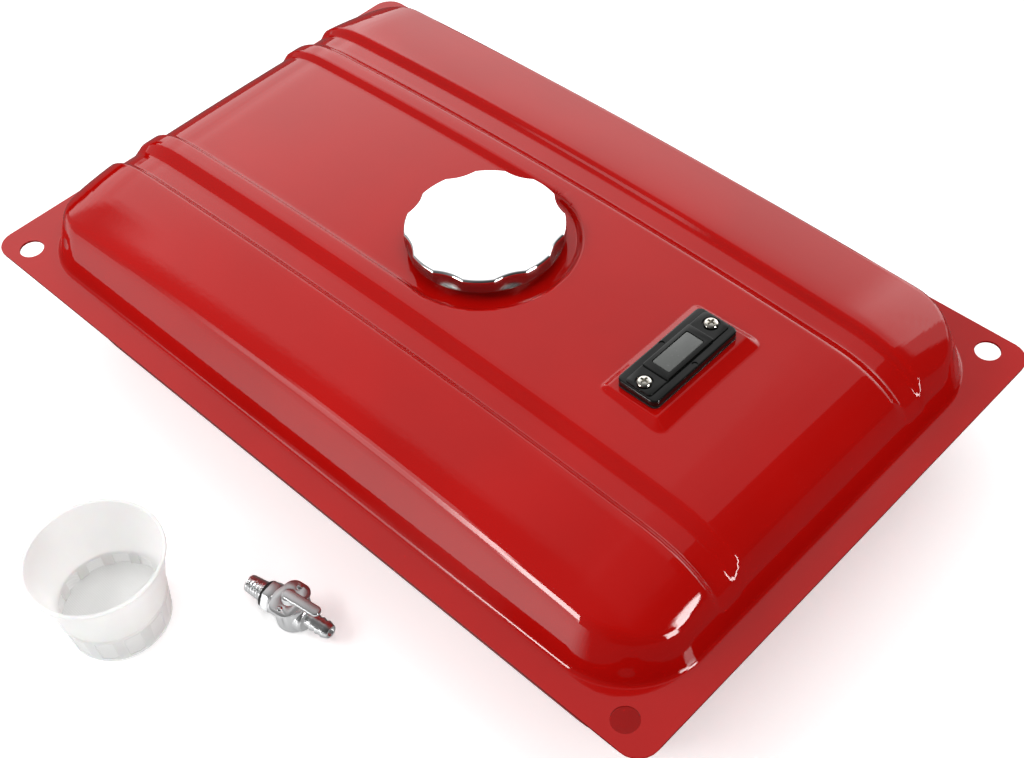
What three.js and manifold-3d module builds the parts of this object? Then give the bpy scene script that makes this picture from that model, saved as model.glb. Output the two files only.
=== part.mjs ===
// Fuel tank of a portable generator: two pressed steel shells with a filler neck, a twist cap, a float
// gauge, and, standing loose in front of it, the filler strainer and the fuel tap. Millimetres, +Z up.
// The origin is the middle of the flat underside. +X runs along the tank towards the gauge, and -Y is
// the front.
import * as THREE from "three";
import { mergeVertices } from "three/addons/utils/BufferGeometryUtils.js";
import Module from "manifold-3d";

const wasm = await Module();
wasm.setup();

// Tank body
const tankLength = 500;
const tankWidth = 317;
const sheet = 1;
const flangeTop = 78; // top face of the upper flange above the ground
const flangeCorner = 12; // radius of the flange's corners
const cornerInset = 60; // from the flange's edges to the centres of the wall's corner arcs
const fit = 0.3; // gap between pieces that touch
const overrun = 2; // how far a cutter runs past the face that it opens
const boltHole = 14;
const boltInsetX = 20.4;
const boltInsetY = 13.2;

// Upper shell: steep wall, then a pillow-shaped deck with a crest of its own along each side
const wallInset = 15.3; // foot of the wall, from the flange's edge
const wallAngle = THREE.MathUtils.degToRad(72);
const footBlend = 4; // height over which the flange turns up into the wall
const rimBlend = 8; // height over which the wall turns over into the deck
const deckHeight = 48; // middle of the deck above the flange
const deckDome = 9; // how much lower the deck is near its ends
const deckCrown = 1; // how much lower it is at the crest beside a groove
const endDrop = 16.3; // extra fall of the deck at the end walls
const endReach = 70; // inset at which that fall begins
const endPower = 2.9;
const sideDrop = 10.1; // extra fall of the deck at the long walls
const sidePower = 1.3;
const creaseInset = 21; // where both falls have reached their full depth
const grooveOuterTop = 75.4; // the groove's edges, from the long side of the flange
const grooveOuterFloor = 80.4;
const grooveInnerFloor = 91.1;
const grooveInnerTop = 97;
const grooveDepth = 4.5;
const recessDepth = 3.3; // lowered panel between the filler and the left end
const recessHalfWidth = 51;

// Lower shell: a basin with a flat floor and a pocket pressed up round the fuel outlet
const basinInset = 18;
const basinDraft = THREE.MathUtils.degToRad(4);
const basinFloorRadius = 22;
const floorShares = [0, 0.3, 0.65, 1]; // stations round the bottom edge's radius
const outletFromEnd = 80; // middle of the fuel outlet, from the flange's left end
const outletFromFront = 78.5;
const pocketRadius = 20;
const pocketHeight = 13;
const bungRadius = 9;
const bungFlange = 13;
const bungFlangeThickness = 2.5;
const bungHeight = 11;
const threadRadius = 6; // fuel tap thread

// Filler neck: a flared collar with a rolled lip that the cap's claws grip
const fillerX = 4.5;
const neckLipTop = 52; // above the flange's top face, as are the heights of the cap and the gauge
const neckMouth = 36.2;
const neckTaper = 0.19; // how much the radius shrinks for each millimetre of depth
const neckWall = 1;
const lipWidth = 1.4;
const lipHeight = 1.6;
const neckDepth = 16;
const neckFlangeWidth = 9;
const clawAngle = THREE.MathUtils.degToRad(24);
const notchAngle = THREE.MathUtils.degToRad(34);

// Cap: a scalloped chrome shell over a steel cup with two claws
const capRadius = 43.7;
const capTop = 58.6;
const capSkirt = 9.6;
const capSheet = 1;
const capLobes = 8;
const scallopDepth = 2.3;
const lobeShares = [-1, -0.5, 0, 0.5, 1]; // stations on a lobe and on a scallop
const scallopShares = [-0.6, -0.3, 0, 0.3, 0.6];
const lobePhase = THREE.MathUtils.degToRad(4);
const capEdge = 1.2;
const cupSheet = 0.8;
const clawThickness = 0.9;
const gasketThickness = 1.8;
const gasketWidth = 5;
const rivetRadius = 2.9;
const rivetHead = 5;
const rivetHeadHeight = 0.7;
const dishDepth = 2.6;
const springWire = 0.8;
const springOuter = 14;
const springInner = 8;
const springTurns = 2.5;

// Strainer: a one-piece plastic basket with windows, lined with mesh
const strainerX = -40;
const strainerGap = 87.5; // its middle, in front of the tank
const strainerRim = 36;
const strainerWaist = 29.6;
const strainerFoot = 27.6;
const strainerHeight = 55.5;
const strainerFunnel = 34; // height of the tapered upper part
const strainerWall = 1.3;
const strainerLip = 1.6;
const meshThickness = 0.6;
const meshFloor = 10.5; // mesh floor above the foot
const windowCount = 12;
const windowShare = 0.62; // of each window's pitch round the basket
const windowMargin = 2.6;

// Gauge: a black housing on a raised pad, a bracket with a pivot, and a float on an arm
const gaugeX = 137;
const padTop = 47.4;
const padWidth = 31;
const padLength = 69;
const padCorner = 5;
const padSpreadX = 8.5; // how far the pad's sloping sides reach out
const padSpreadY = 6;
const padFall = 4.6; // height over which they do
const housingWidth = 25.3;
const housingLength = 63.5;
const housingCorner = 3.4;
const housingHeight = 4;
const housingBevel = 0.8;
const blockWidth = 16;
const blockLength = 35.5;
const blockHeight = 1.6;
const windowWidth = 9;
const windowLength = 24.5;
const lensMargin = 0.9;
const lensThickness = 1.2;
const screwSpacing = 50.6;
const screwHead = 3.7;
const screwHeadHeight = 2;
const screwCrownShare = 0.72; // flat top of the head, and each arm of its cross recess
const screwCrossShare = 1.1;
const screwShank = 1.9;
const screwLength = 11;
const nutFlats = 7;
const nutHeight = 3.2;
const gaugeGasket = 0.8;
const notchWidth = 2.4;
const plateWidth = 20;
const plateLength = 44;
const plateThickness = 0.8;
const cheekGap = 10.8;
const cheekThickness = 1.2;
const cheekWidth = 11;
const pivotDrop = 21.4; // pivot below the top of the pad
const pinRadius = 1.5;
const hubRadius = 3.6;
const cardRadius = 25.4;
const cardThickness = 0.8;
const cardWidth = 8;
const cardBack = THREE.MathUtils.degToRad(92); // how far the card reaches each way from the window
const cardFront = THREE.MathUtils.degToRad(32);
const spokeWidth = 3;
const armLength = 90;
const armWire = 1.3;
const armFall = THREE.MathUtils.degToRad(60); // below level, where it hangs in an empty tank
const floatRadius = 13;
const floatLength = 40;

// Fuel tap, lying on its side
const tapX = 1.2; // free end of its thread
const tapGap = 30.3; // that end, in front of the tank
const tapTurn = THREE.MathUtils.degToRad(8.6);
const tapThreadLength = 12;
const tapThreadPitch = 1.5;
const tapThreadDepth = 0.7;
const tapWasher = 7.8;
const tapWasherThickness = 1.6;
const tapFlats = 16;
const tapHexLength = 5;
const tapBarrel = 8;
const tapBarrelLength = 22;
const tapFlatsCut = 7; // half the height between the barrel's two flat sides
const tapChamber = 7;
const tapChamberDepth = 4;
const tapSealThickness = 1.6;
const tapBossRadius = 10;
const tapBossHeight = 2;
const tapBarb = 4;
const tapBarbLength = 15;
const tapBarbRidge = 0.9;
const tapRidges = 3;
const tapRidgeShare = 0.8; // length of a ridge's slope, of their pitch
const tapBore = 2.4;
const leverThickness = 2.2;
const leverNeck = 4;
const leverWidth = 6;
const leverLength = 24;
const plateCover = 1;
const coverOpening = 4.6;
const coverScrewSpacing = 16;
const coverScrewHead = 1.6;
const coverScrewShank = 0.9;
const coverHeadShare = 0.8; // height of the head, of its radius

const fullTurn = 2 * Math.PI;
const quarterTurn = Math.PI / 2;
const mergeTolerance = 1e-4;

// Solids and meshes
function solidOf(geometry) {
  const bare = geometry.index ? geometry.toNonIndexed() : geometry.clone();
  bare.deleteAttribute("normal");
  bare.deleteAttribute("uv");
  const merged = mergeVertices(bare, mergeTolerance);
  const mesh = new wasm.Mesh({
    numProp: 3,
    vertProperties: merged.attributes.position.array,
    triVerts: new Uint32Array(merged.index.array),
  });
  return new wasm.Manifold(mesh);
}

function geometryOf(solid) {
  const mesh = solid.getMesh();
  const places = [];
  for (const vertex of mesh.triVerts) {
    const start = vertex * mesh.numProp;
    places.push(...mesh.vertProperties.subarray(start, start + 3));
  }
  const geometry = new THREE.BufferGeometry();
  geometry.setAttribute("position", new THREE.Float32BufferAttribute(places, 3));
  geometry.computeVertexNormals();
  return geometry;
}

const moved = (geometry, x, y, z) => geometry.translate(x, y, z);
const cut = (solid, ...others) => others.reduce((left, other) => left.subtract(other), solid);
const joined = (solid, ...others) => others.reduce((sum, other) => sum.add(other), solid);

// Upright block with its middle at x, y
function block(width, depth, low, high, x = 0, y = 0) {
  const box = new THREE.BoxGeometry(width, depth, high - low);
  return solidOf(moved(box, x, y, (low + high) / 2));
}

// Upright cylinder
function rod(radius, low, high, x = 0, y = 0, sides = 32) {
  const cylinder = new THREE.CylinderGeometry(radius, radius, high - low, sides);
  cylinder.rotateX(quarterTurn);
  return solidOf(moved(cylinder, x, y, (low + high) / 2));
}

// Cylinder along X
function bar(radius, low, high, y = 0, z = 0, sides = 20) {
  const cylinder = new THREE.CylinderGeometry(radius, radius, high - low, sides);
  cylinder.rotateZ(quarterTurn);
  return solidOf(moved(cylinder, (low + high) / 2, y, z));
}

// Turned piece about Z, from [radius, height] corners that run anticlockwise in the r-z plane
function turned(corners, sides = 48) {
  const profile = [...corners, corners[0]].map(([r, z]) => new THREE.Vector2(r, z));
  return solidOf(new THREE.LatheGeometry(profile, sides).rotateX(quarterTurn));
}

// Sector of a ring, centred on an angle
function sector(inner, outer, angle, middle, low, high) {
  const shape = new THREE.Shape();
  shape.absarc(0, 0, outer, middle - angle / 2, middle + angle / 2, false);
  shape.absarc(0, 0, inner, middle + angle / 2, middle - angle / 2, true);
  const options = { depth: high - low, bevelEnabled: false, curveSegments: 5 };
  return solidOf(moved(new THREE.ExtrudeGeometry(shape, options), 0, 0, low));
}

// Rounded rectangle as a list of plan points, anticlockwise
function roundedRectangle(width, depth, radius, steps = 5) {
  const points = [];
  const centres = [[1, 1], [-1, 1], [-1, -1], [1, -1]];
  centres.forEach(([sx, sy], corner) => {
    for (let i = 0; i <= steps; i++) {
      const angle = (corner + i / steps) * quarterTurn;
      const x = sx * (width / 2 - radius) + radius * Math.cos(angle);
      const y = sy * (depth / 2 - radius) + radius * Math.sin(angle);
      points.push([x, y]);
    }
  });
  return points;
}

// Closed skin through equal rings of points, listed from the bottom up, with a flat lid on each end
function loft(rings) {
  const places = [];
  const face = (...corners) => corners.forEach((corner) => places.push(...corner));
  const middleOf = (ring) => [0, 1, 2].map((k) => ring.reduce((sum, p) => sum + p[k], 0) / ring.length);
  rings.slice(1).forEach((upper, row) => {
    const lower = rings[row];
    lower.forEach((start, i) => {
      const next = (i + 1) % lower.length;
      face(start, lower[next], upper[next]);
      face(start, upper[next], upper[i]);
    });
  });
  const lids = [[rings[0], true], [rings.at(-1), false]];
  for (const [ring, below] of lids) {
    const middle = middleOf(ring);
    ring.forEach((start, i) => {
      const next = ring[(i + 1) % ring.length];
      face(middle, below ? next : start, below ? start : next);
    });
  }
  const geometry = new THREE.BufferGeometry();
  geometry.setAttribute("position", new THREE.Float32BufferAttribute(places, 3));
  return solidOf(geometry);
}

const atHeight = (outline, z) => outline.map(([x, y]) => [x, y, z]);

// Plate with a rounded outline and round holes
function plate(width, depth, radius, low, high, holes = []) {
  const outline = roundedRectangle(width, depth, radius);
  const shape = new THREE.Shape(outline.map(([x, y]) => new THREE.Vector2(x, y)));
  for (const [x, y, r] of holes) {
    const hole = new THREE.Path();
    hole.absarc(x, y, r, 0, fullTurn, true);
    shape.holes.push(hole);
  }
  const options = { depth: high - low, bevelEnabled: false, curveSegments: 8 };
  return solidOf(moved(new THREE.ExtrudeGeometry(shape, options), 0, 0, low));
}

const group = new THREE.Group();
function place(name, solid, material, parent = group) {
  const mesh = new THREE.Mesh(geometryOf(solid), material);
  mesh.name = name;
  parent.add(mesh);
}
function finish(color, roughness, metalness) {
  return new THREE.MeshStandardMaterial({ color, roughness, metalness });
}

// Plan of the tank
const halfLength = tankLength / 2;
const halfWidth = tankWidth / 2;
const arcX = halfLength - cornerInset;
const arcY = halfWidth - cornerInset;
const outletX = outletFromEnd - halfLength;
const outletY = outletFromFront - halfWidth;
const strainerY = -halfWidth - strainerGap;
const tapY = -halfWidth - tapGap;
const boltPlaces = [[1, 1], [-1, 1], [-1, -1], [1, -1]].map(([sx, sy]) => [
  sx * (halfLength - boltInsetX),
  sy * (halfWidth - boltInsetY),
]);
const boltHoles = boltPlaces.map(([x, y]) => [x, y, boltHole / 2]);

// Height of the deck over a plan point, above the flange's top face
const power = (value, exponent) => Math.max(value, 0) ** exponent;
function deckAt(x, y) {
  const fromEnd = Math.max(halfLength - Math.abs(x), creaseInset);
  const fromSide = Math.max(halfWidth - Math.abs(y), creaseInset);
  const crestY = halfWidth - grooveOuterTop;
  const dome = deckDome * (x / (halfLength - creaseInset)) ** 2;
  const crown = deckCrown * Math.min(Math.abs(y) / crestY, 1) ** 2;
  const end = endDrop * power((endReach - fromEnd) / (endReach - creaseInset), endPower);
  const side = sideDrop * power((grooveOuterTop - fromSide) / (grooveOuterTop - creaseInset), sidePower);
  return deckHeight - dome - crown - end - side;
}

// Depth of the two grooves at a distance from the middle line
function grooveAt(y) {
  const fromSide = halfWidth - Math.abs(y);
  const outer = (fromSide - grooveOuterTop) / (grooveOuterFloor - grooveOuterTop);
  const inner = (grooveInnerTop - fromSide) / (grooveInnerTop - grooveInnerFloor);
  return grooveDepth * THREE.MathUtils.clamp(Math.min(outer, inner), 0, 1);
}

function smoothMin(a, b, blend) {
  const near = Math.max(blend - Math.abs(a - b), 0) / blend;
  return Math.min(a, b) - (near * near * blend) / 4;
}
const smoothMax = (a, b, blend) => -smoothMin(-a, -b, blend);

// Stations round the walls: straight stretches share their lines with the deck's grid
const longSpans = 10;
const longLines = Array.from({ length: longSpans + 1 }, (_, i) => -arcX + (i / longSpans) * 2 * arcX);
const crossInsets = [grooveOuterTop, grooveOuterFloor, grooveInnerFloor, grooveInnerTop];
const nearLines = crossInsets.map((inset) => inset - halfWidth);
const middleShares = [-0.45, 0, 0.45];
const middleLines = middleShares.map((share) => share * (halfWidth - grooveInnerTop));
const farLines = nearLines.map((y) => -y).reverse();
const crossLines = [-arcY, ...nearLines, ...middleLines, ...farLines, arcY];
const arcSteps = 6;

// Plan points of the ring at an inset from the flange's edge, anticlockwise from the right-hand side
function ringAt(inset) {
  const radius = cornerInset - inset;
  const points = [];
  const arc = (sx, sy, start) => {
    for (let i = 1; i < arcSteps; i++) {
      const angle = start + (i / arcSteps) * quarterTurn;
      points.push([sx * arcX + radius * Math.cos(angle), sy * arcY + radius * Math.sin(angle)]);
    }
  };
  crossLines.forEach((y) => points.push([halfLength - inset, y]));
  arc(1, 1, 0);
  longLines.toReversed().forEach((x) => points.push([x, halfWidth - inset]));
  arc(-1, 1, quarterTurn);
  crossLines.toReversed().forEach((y) => points.push([-halfLength + inset, y]));
  arc(-1, -1, 2 * quarterTurn);
  longLines.forEach((x) => points.push([x, -halfWidth + inset]));
  arc(1, -1, 3 * quarterTurn);
  return points;
}

// Solid under the upper shell's skin. The inner one lies one sheet thickness inside the outer one.
const ringShares = [0, 0.03, 0.07, 0.14, 0.21, 0.26, 0.31, 0.38, 0.5, 0.72, 1];
const footInset = wallInset - footBlend / 2;
function pillow(offset, lowered) {
  const start = footInset + offset;
  const heightAt = (x, y, inset) => {
    const wall = (inset - wallInset - offset / Math.sin(wallAngle)) * Math.tan(wallAngle);
    const deck = deckAt(x, y) - grooveAt(y) - offset - lowered;
    return flangeTop + smoothMax(-offset, smoothMin(wall, deck, rimBlend), footBlend);
  };
  const places = [];
  const face = (...corners) => corners.forEach((corner) => places.push(...corner));
  const floor = flangeTop - sheet - (offset ? overrun : 0);
  const insets = ringShares.map((share) => start + share * (cornerInset - start));
  const rings = insets.map((inset, row) =>
    ringAt(inset).map(([x, y]) => [x, y, row ? heightAt(x, y, inset) : flangeTop - offset]),
  );
  const foot = rings[0].map(([x, y]) => [x, y, floor]);
  [foot, ...rings].slice(1).forEach((upper, row) => {
    const lower = [foot, ...rings][row];
    lower.forEach((first, i) => {
      const next = (i + 1) % lower.length;
      face(first, lower[next], upper[next]);
      face(first, upper[next], upper[i]);
    });
  });
  const top = (i, j) => [longLines[i], crossLines[j], heightAt(longLines[i], crossLines[j], cornerInset)];
  for (let i = 1; i < longLines.length; i++)
    for (let j = 1; j < crossLines.length; j++) {
      face(top(i - 1, j - 1), top(i, j - 1), top(i, j));
      face(top(i - 1, j - 1), top(i, j), top(i - 1, j));
    }
  foot.forEach((first, i) => face([0, 0, floor], foot[(i + 1) % foot.length], first));
  const geometry = new THREE.BufferGeometry();
  geometry.setAttribute("position", new THREE.Float32BufferAttribute(places, 3));
  return solidOf(geometry);
}

// Keyhole outline of the lowered panel, as an upright cutter
function keyhole(grow) {
  const radius = recessHalfWidth + grow;
  const shape = new THREE.Shape();
  shape.moveTo(-halfLength, -radius);
  shape.absarc(fillerX, 0, radius, -quarterTurn, quarterTurn, false);
  shape.lineTo(-halfLength, radius);
  const options = { depth: 2 * deckHeight, bevelEnabled: false, curveSegments: 24 };
  return solidOf(moved(new THREE.ExtrudeGeometry(shape, options), 0, 0, flangeTop));
}

// Raised pad under the gauge, with sloping sides
function gaugePad(offset) {
  const top = flangeTop + padTop - offset;
  const foot = top - padFall;
  const narrow = roundedRectangle(padWidth - 2 * offset, padLength - 2 * offset, padCorner - offset);
  const wide = roundedRectangle(
    padWidth + 2 * padSpreadX - 2 * offset,
    padLength + 2 * padSpreadY - 2 * offset,
    padCorner + (padSpreadX + padSpreadY) / 2 - offset,
  );
  return loft([atHeight(wide, foot), atHeight(narrow, top)]).translate([gaugeX, 0, 0]);
}

const slotWidth = cheekGap + 2 * cheekThickness + 2 * fit;
const cardHalfWay = Math.sqrt(cardRadius ** 2 - (pivotDrop - sheet) ** 2);
const slotLength = 2 * (cardHalfWay + overrun) + cardThickness;
const neckOuterAt = (z) => neckMouth - neckTaper * (neckLipTop - z) + neckWall;
const filledDeck = deckAt(fillerX, 0) - recessDepth;
const screwPlaces = [-1, 1].map((side) => (side * screwSpacing) / 2);

function upperShell() {
  const outside = cut(pillow(0, 0), cut(keyhole(0), pillow(0, recessDepth)));
  const inside = cut(pillow(sheet, 0), cut(keyhole(sheet), pillow(sheet, recessDepth)));
  const flange = plate(tankLength, tankWidth, flangeCorner, flangeTop - sheet, flangeTop, boltHoles);
  const high = flangeTop + deckHeight + overrun;
  const filler = rod(neckOuterAt(filledDeck) + fit, flangeTop, high, fillerX, 0, 48);
  const slot = block(slotWidth, slotLength, flangeTop, high, gaugeX);
  const screws = screwPlaces.map((y) => rod(screwShank + fit, flangeTop, high, gaugeX, y, 16));
  const outer = joined(flange, outside, gaugePad(0));
  return cut(outer, joined(inside, gaugePad(sheet)), filler, slot, ...screws);
}

// Ring of the lower shell: the same corners as the upper one, with fewer stations
function basinRing(inset, z) {
  const radius = cornerInset - inset;
  return atHeight(roundedRectangle(tankLength - 2 * inset, tankWidth - 2 * inset, radius, arcSteps), z);
}

// Basin, from its floor up: a rounded bottom edge, then a wall with a little draft
function basin(offset, top) {
  const floor = offset;
  const radius = basinFloorRadius - offset;
  const centreZ = basinFloorRadius;
  const lean = Math.tan(basinDraft);
  const wallAt = (z) => basinInset + offset + (flangeTop - z) * lean;
  const centreInset = wallAt(centreZ) + radius;
  const rings = [];
  for (const share of floorShares) {
    const angle = share * quarterTurn;
    const inset = centreInset - radius * Math.sin(angle);
    rings.push(basinRing(inset, floor + radius * (1 - Math.cos(angle))));
  }
  rings.push(basinRing(wallAt(top), top));
  return loft(rings);
}

const lowerFlangeTop = flangeTop - sheet - fit;
function lowerShell() {
  const flange = plate(
    tankLength,
    tankWidth,
    flangeCorner,
    lowerFlangeTop - sheet,
    lowerFlangeTop,
    boltHoles,
  );
  const outside = basin(0, lowerFlangeTop);
  const pocketRoof = rod(pocketRadius + sheet, 0, pocketHeight + sheet, outletX, outletY);
  const inside = cut(basin(sheet, lowerFlangeTop + overrun), pocketRoof);
  const pocket = rod(pocketRadius, -overrun, pocketHeight, outletX, outletY);
  const bungHole = rod(bungRadius + fit, 0, flangeTop / 2, outletX, outletY);
  return cut(joined(flange, outside), inside, pocket, bungHole);
}

// Threaded bung, welded on the pocket's roof: its foot is level with the roof's lower face
function outletBung() {
  const foot = pocketHeight;
  const seat = foot + sheet + fit;
  const collar = seat + bungFlangeThickness;
  const top = foot + bungHeight;
  const corners = [
    [threadRadius, foot],
    [bungRadius, foot],
    [bungRadius, seat],
    [bungFlange, seat],
    [bungFlange, collar],
    [bungRadius, collar],
    [bungRadius, top],
    [threadRadius, top],
  ];
  return turned(corners, 24).translate([outletX, outletY, 0]);
}

// Flared neck: its flange lies under the deck, and its lip has two notches for the cap's claws
function fillerNeck() {
  const inner = (z) => neckMouth - neckTaper * (neckLipTop - z);
  const bottom = neckLipTop - neckDepth;
  const lipLow = neckLipTop - lipHeight;
  const lipOuter = neckMouth + neckWall + lipWidth;
  const reach = inner(filledDeck) + neckFlangeWidth;
  const flangeHigh = deckAt(fillerX + reach, 0) - recessDepth - sheet - 2 * fit;
  const flangeLow = flangeHigh - neckWall;
  const corners = [
    [inner(bottom), bottom],
    [inner(bottom) + neckWall, bottom],
    [inner(flangeLow) + neckWall, flangeLow],
    [inner(flangeLow) + neckFlangeWidth, flangeLow],
    [inner(flangeLow) + neckFlangeWidth, flangeHigh],
    [inner(flangeHigh) + neckWall, flangeHigh],
    [inner(lipLow) + neckWall, lipLow],
    [lipOuter, lipLow],
    [lipOuter, neckLipTop],
    [inner(neckLipTop), neckLipTop],
  ];
  const notchFoot = neckMouth + neckWall / 2;
  const notchTop = neckLipTop + overrun;
  const notches = [0, Math.PI].map((middle) =>
    sector(notchFoot, lipOuter + overrun, notchAngle, middle, lipLow - fit, notchTop),
  );
  return cut(turned(corners), ...notches).translate([fillerX, 0, flangeTop]);
}

// Outline of the cap: equal lobes and scallops, at a radius that may be drawn in
function capOutline(inset) {
  const points = [];
  const radius = capRadius - inset;
  const halfStep = fullTurn / capLobes / 4;
  for (let lobe = 0; lobe < capLobes; lobe++) {
    const middle = lobePhase + (lobe * fullTurn) / capLobes;
    for (const share of lobeShares) {
      const angle = middle + share * halfStep;
      points.push([radius * Math.cos(angle), radius * Math.sin(angle)]);
    }
    for (const share of scallopShares) {
      const angle = middle + 2 * halfStep + share * halfStep;
      const dip = scallopDepth * (1 - share * share);
      points.push([(radius - dip) * Math.cos(angle), (radius - dip) * Math.sin(angle)]);
    }
  }
  return points;
}

const capSkirtLow = capTop - capSkirt;
const cupOuter = capRadius - scallopDepth - capSheet - fit;
const cupTop = capTop - capSheet - 2 * fit - rivetHeadHeight;
const clawTop = neckLipTop - lipHeight - fit;
const gasketOuter = cupOuter - cupSheet - 2 * fit;
const gasketInner = gasketOuter - gasketWidth;
const gasketLow = neckLipTop + fit;
const retainerLow = gasketLow + gasketThickness + fit;
const dishFloor = retainerLow + cupSheet - dishDepth;

function capShell() {
  const outside = loft([
    atHeight(capOutline(0), capSkirtLow),
    atHeight(capOutline(0), capTop - capEdge),
    atHeight(capOutline(capEdge / 4), capTop - capEdge / 3),
    atHeight(capOutline(capEdge), capTop),
  ]);
  const inside = loft([
    atHeight(capOutline(capSheet), capSkirtLow - overrun),
    atHeight(capOutline(capSheet), capTop - capSheet),
  ]);
  return cut(outside, inside);
}

function capInnerCup() {
  const wallLow = clawTop + fit;
  const corners = [
    [rivetRadius + fit, cupTop - cupSheet],
    [cupOuter - cupSheet, cupTop - cupSheet],
    [cupOuter - cupSheet, wallLow],
    [cupOuter, wallLow],
    [cupOuter, cupTop],
    [rivetRadius + fit, cupTop],
  ];
  const clawLow = clawTop - clawThickness;
  const claws = [0, Math.PI].flatMap((middle) => [
    sector(cupOuter - cupSheet, cupOuter, clawAngle, middle, clawLow, wallLow + overrun),
    sector(neckMouth + neckWall + fit, cupOuter, clawAngle, middle, clawLow, clawTop),
  ]);
  return joined(turned(corners), ...claws);
}

function capGasket() {
  const high = gasketLow + gasketThickness;
  return turned([
    [gasketInner, gasketLow],
    [gasketOuter, gasketLow],
    [gasketOuter, high],
    [gasketInner, high],
  ], 36);
}

// Dished plate that carries the gasket
function capRetainer() {
  const wall = gasketInner - fit;
  return turned([
    [rivetRadius + fit, dishFloor],
    [wall, dishFloor],
    [wall, retainerLow],
    [gasketOuter, retainerLow],
    [gasketOuter, retainerLow + cupSheet],
    [wall - cupSheet, retainerLow + cupSheet],
    [wall - cupSheet, dishFloor + cupSheet],
    [rivetRadius + fit, dishFloor + cupSheet],
  ], 36);
}

function capRivet() {
  const headLow = dishFloor - fit - rivetHeadHeight;
  const headTop = cupTop + fit + rivetHeadHeight;
  return turned(
    [
      [0, headLow],
      [rivetHead, headLow],
      [rivetHead, headLow + rivetHeadHeight],
      [rivetRadius, headLow + rivetHeadHeight],
      [rivetRadius, headTop - rivetHeadHeight],
      [rivetHead, headTop - rivetHeadHeight],
      [rivetHead, headTop],
      [0, headTop],
    ],
    24,
  );
}

// Conical spring between the dish and the cup
class ConeCoil extends THREE.Curve {
  getPoint(t, target = new THREE.Vector3()) {
    const low = dishFloor + cupSheet + fit + springWire / 2;
    const high = cupTop - cupSheet - fit - springWire / 2;
    const radius = springOuter + (springInner - springOuter) * t;
    const angle = t * springTurns * fullTurn;
    return target.set(radius * Math.cos(angle), radius * Math.sin(angle), low + (high - low) * t);
  }
}
function capSpring() {
  const wire = new THREE.Shape();
  wire.absarc(0, 0, springWire / 2, 0, fullTurn, false);
  const steps = Math.round(springTurns * 14);
  const options = { steps, extrudePath: new ConeCoil(), curveSegments: 3 };
  return solidOf(new THREE.ExtrudeGeometry(wire, options));
}

// Strainer basket: a tapered funnel over a straighter part with windows
function strainerRadius(z) {
  const waist = strainerHeight - strainerFunnel;
  if (z > waist) return strainerWaist + ((strainerRim - strainerWaist) * (z - waist)) / strainerFunnel;
  return strainerFoot + ((strainerWaist - strainerFoot) * z) / waist;
}
const windowLow = windowMargin;
const windowHigh = strainerHeight - strainerFunnel - windowMargin;
function strainerBasket() {
  const waist = strainerHeight - strainerFunnel;
  const outer = (z) => [strainerRadius(z), z];
  const inner = (z) => [strainerRadius(z) - strainerWall, z];
  const lipLow = strainerHeight - strainerLip;
  const shell = turned(
    [
      inner(0),
      outer(0),
      outer(waist),
      outer(lipLow),
      [strainerRim + strainerLip / 2, lipLow],
      [strainerRim + strainerLip / 2, strainerHeight],
      inner(strainerHeight),
      inner(waist),
    ],
    48,
  );
  const pitch = fullTurn / windowCount;
  const cutters = Array.from({ length: windowCount }, (_, i) =>
    sector(strainerFoot / 2, strainerRim, windowShare * pitch, (i + 0.5) * pitch, windowLow, windowHigh),
  );
  return cut(shell, ...cutters);
}

// Mesh cup that lines the basket below the waist
function strainerMesh() {
  const top = strainerHeight - strainerFunnel;
  const outer = (z) => strainerRadius(z) - strainerWall - fit;
  return turned(
    [
      [0, meshFloor],
      [outer(meshFloor), meshFloor],
      [outer(top), top],
      [outer(top) - meshThickness, top],
      [outer(meshFloor) - meshThickness, meshFloor + meshThickness],
      [0, meshFloor + meshThickness],
    ],
    36,
  );
}

// Gauge heights, above the flange's top face
const gasketBase = padTop + fit;
const housingLow = gasketBase + gaugeGasket + fit;
const housingHigh = housingLow + housingHeight;
const blockHigh = housingHigh + blockHeight;
const pivotZ = padTop - pivotDrop;
const screwSeat = housingHigh + fit;

function gaugeHousing() {
  const base = roundedRectangle(housingWidth, housingLength, housingCorner);
  const bevelled = roundedRectangle(
    housingWidth - 2 * housingBevel,
    housingLength - 2 * housingBevel,
    housingCorner - housingBevel,
  );
  const body = loft([
    atHeight(base, housingLow),
    atHeight(base, housingHigh - housingBevel),
    atHeight(bevelled, housingHigh),
  ]);
  const blockBase = roundedRectangle(blockWidth, blockLength, housingBevel);
  const blockRoof = roundedRectangle(
    blockWidth - housingBevel,
    blockLength - housingBevel,
    housingBevel / 2,
  );
  const raised = loft([
    atHeight(blockBase, housingHigh - overrun),
    atHeight(blockBase, blockHigh - housingBevel / 2),
    atHeight(blockRoof, blockHigh),
  ]);
  const lensWidth = windowWidth + 2 * lensMargin;
  const lensLength = windowLength + 2 * lensMargin;
  const rebateLow = blockHigh - lensThickness - fit;
  const rebate = block(lensWidth + 2 * fit, lensLength + 2 * fit, rebateLow, blockHigh + overrun);
  const sight = block(windowWidth, windowLength, housingLow - overrun, blockHigh);
  const cavityTop = pivotZ + cardRadius + 2 * fit;
  const cavity = block(cheekGap, slotLength, housingLow - overrun, cavityTop);
  const screws = screwPlaces.map((y) => rod(screwShank + fit, housingLow - overrun, blockHigh, 0, y, 16));
  const stripWidth = (housingWidth - blockWidth) / 2;
  const notches = [-1, 1].map((side) =>
    block(
      stripWidth,
      notchWidth,
      housingHigh - housingBevel,
      housingHigh + overrun,
      (side * (blockWidth + stripWidth + 2 * fit)) / 2,
    ),
  );
  return cut(joined(body, raised), rebate, sight, cavity, ...screws, ...notches);
}

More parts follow.
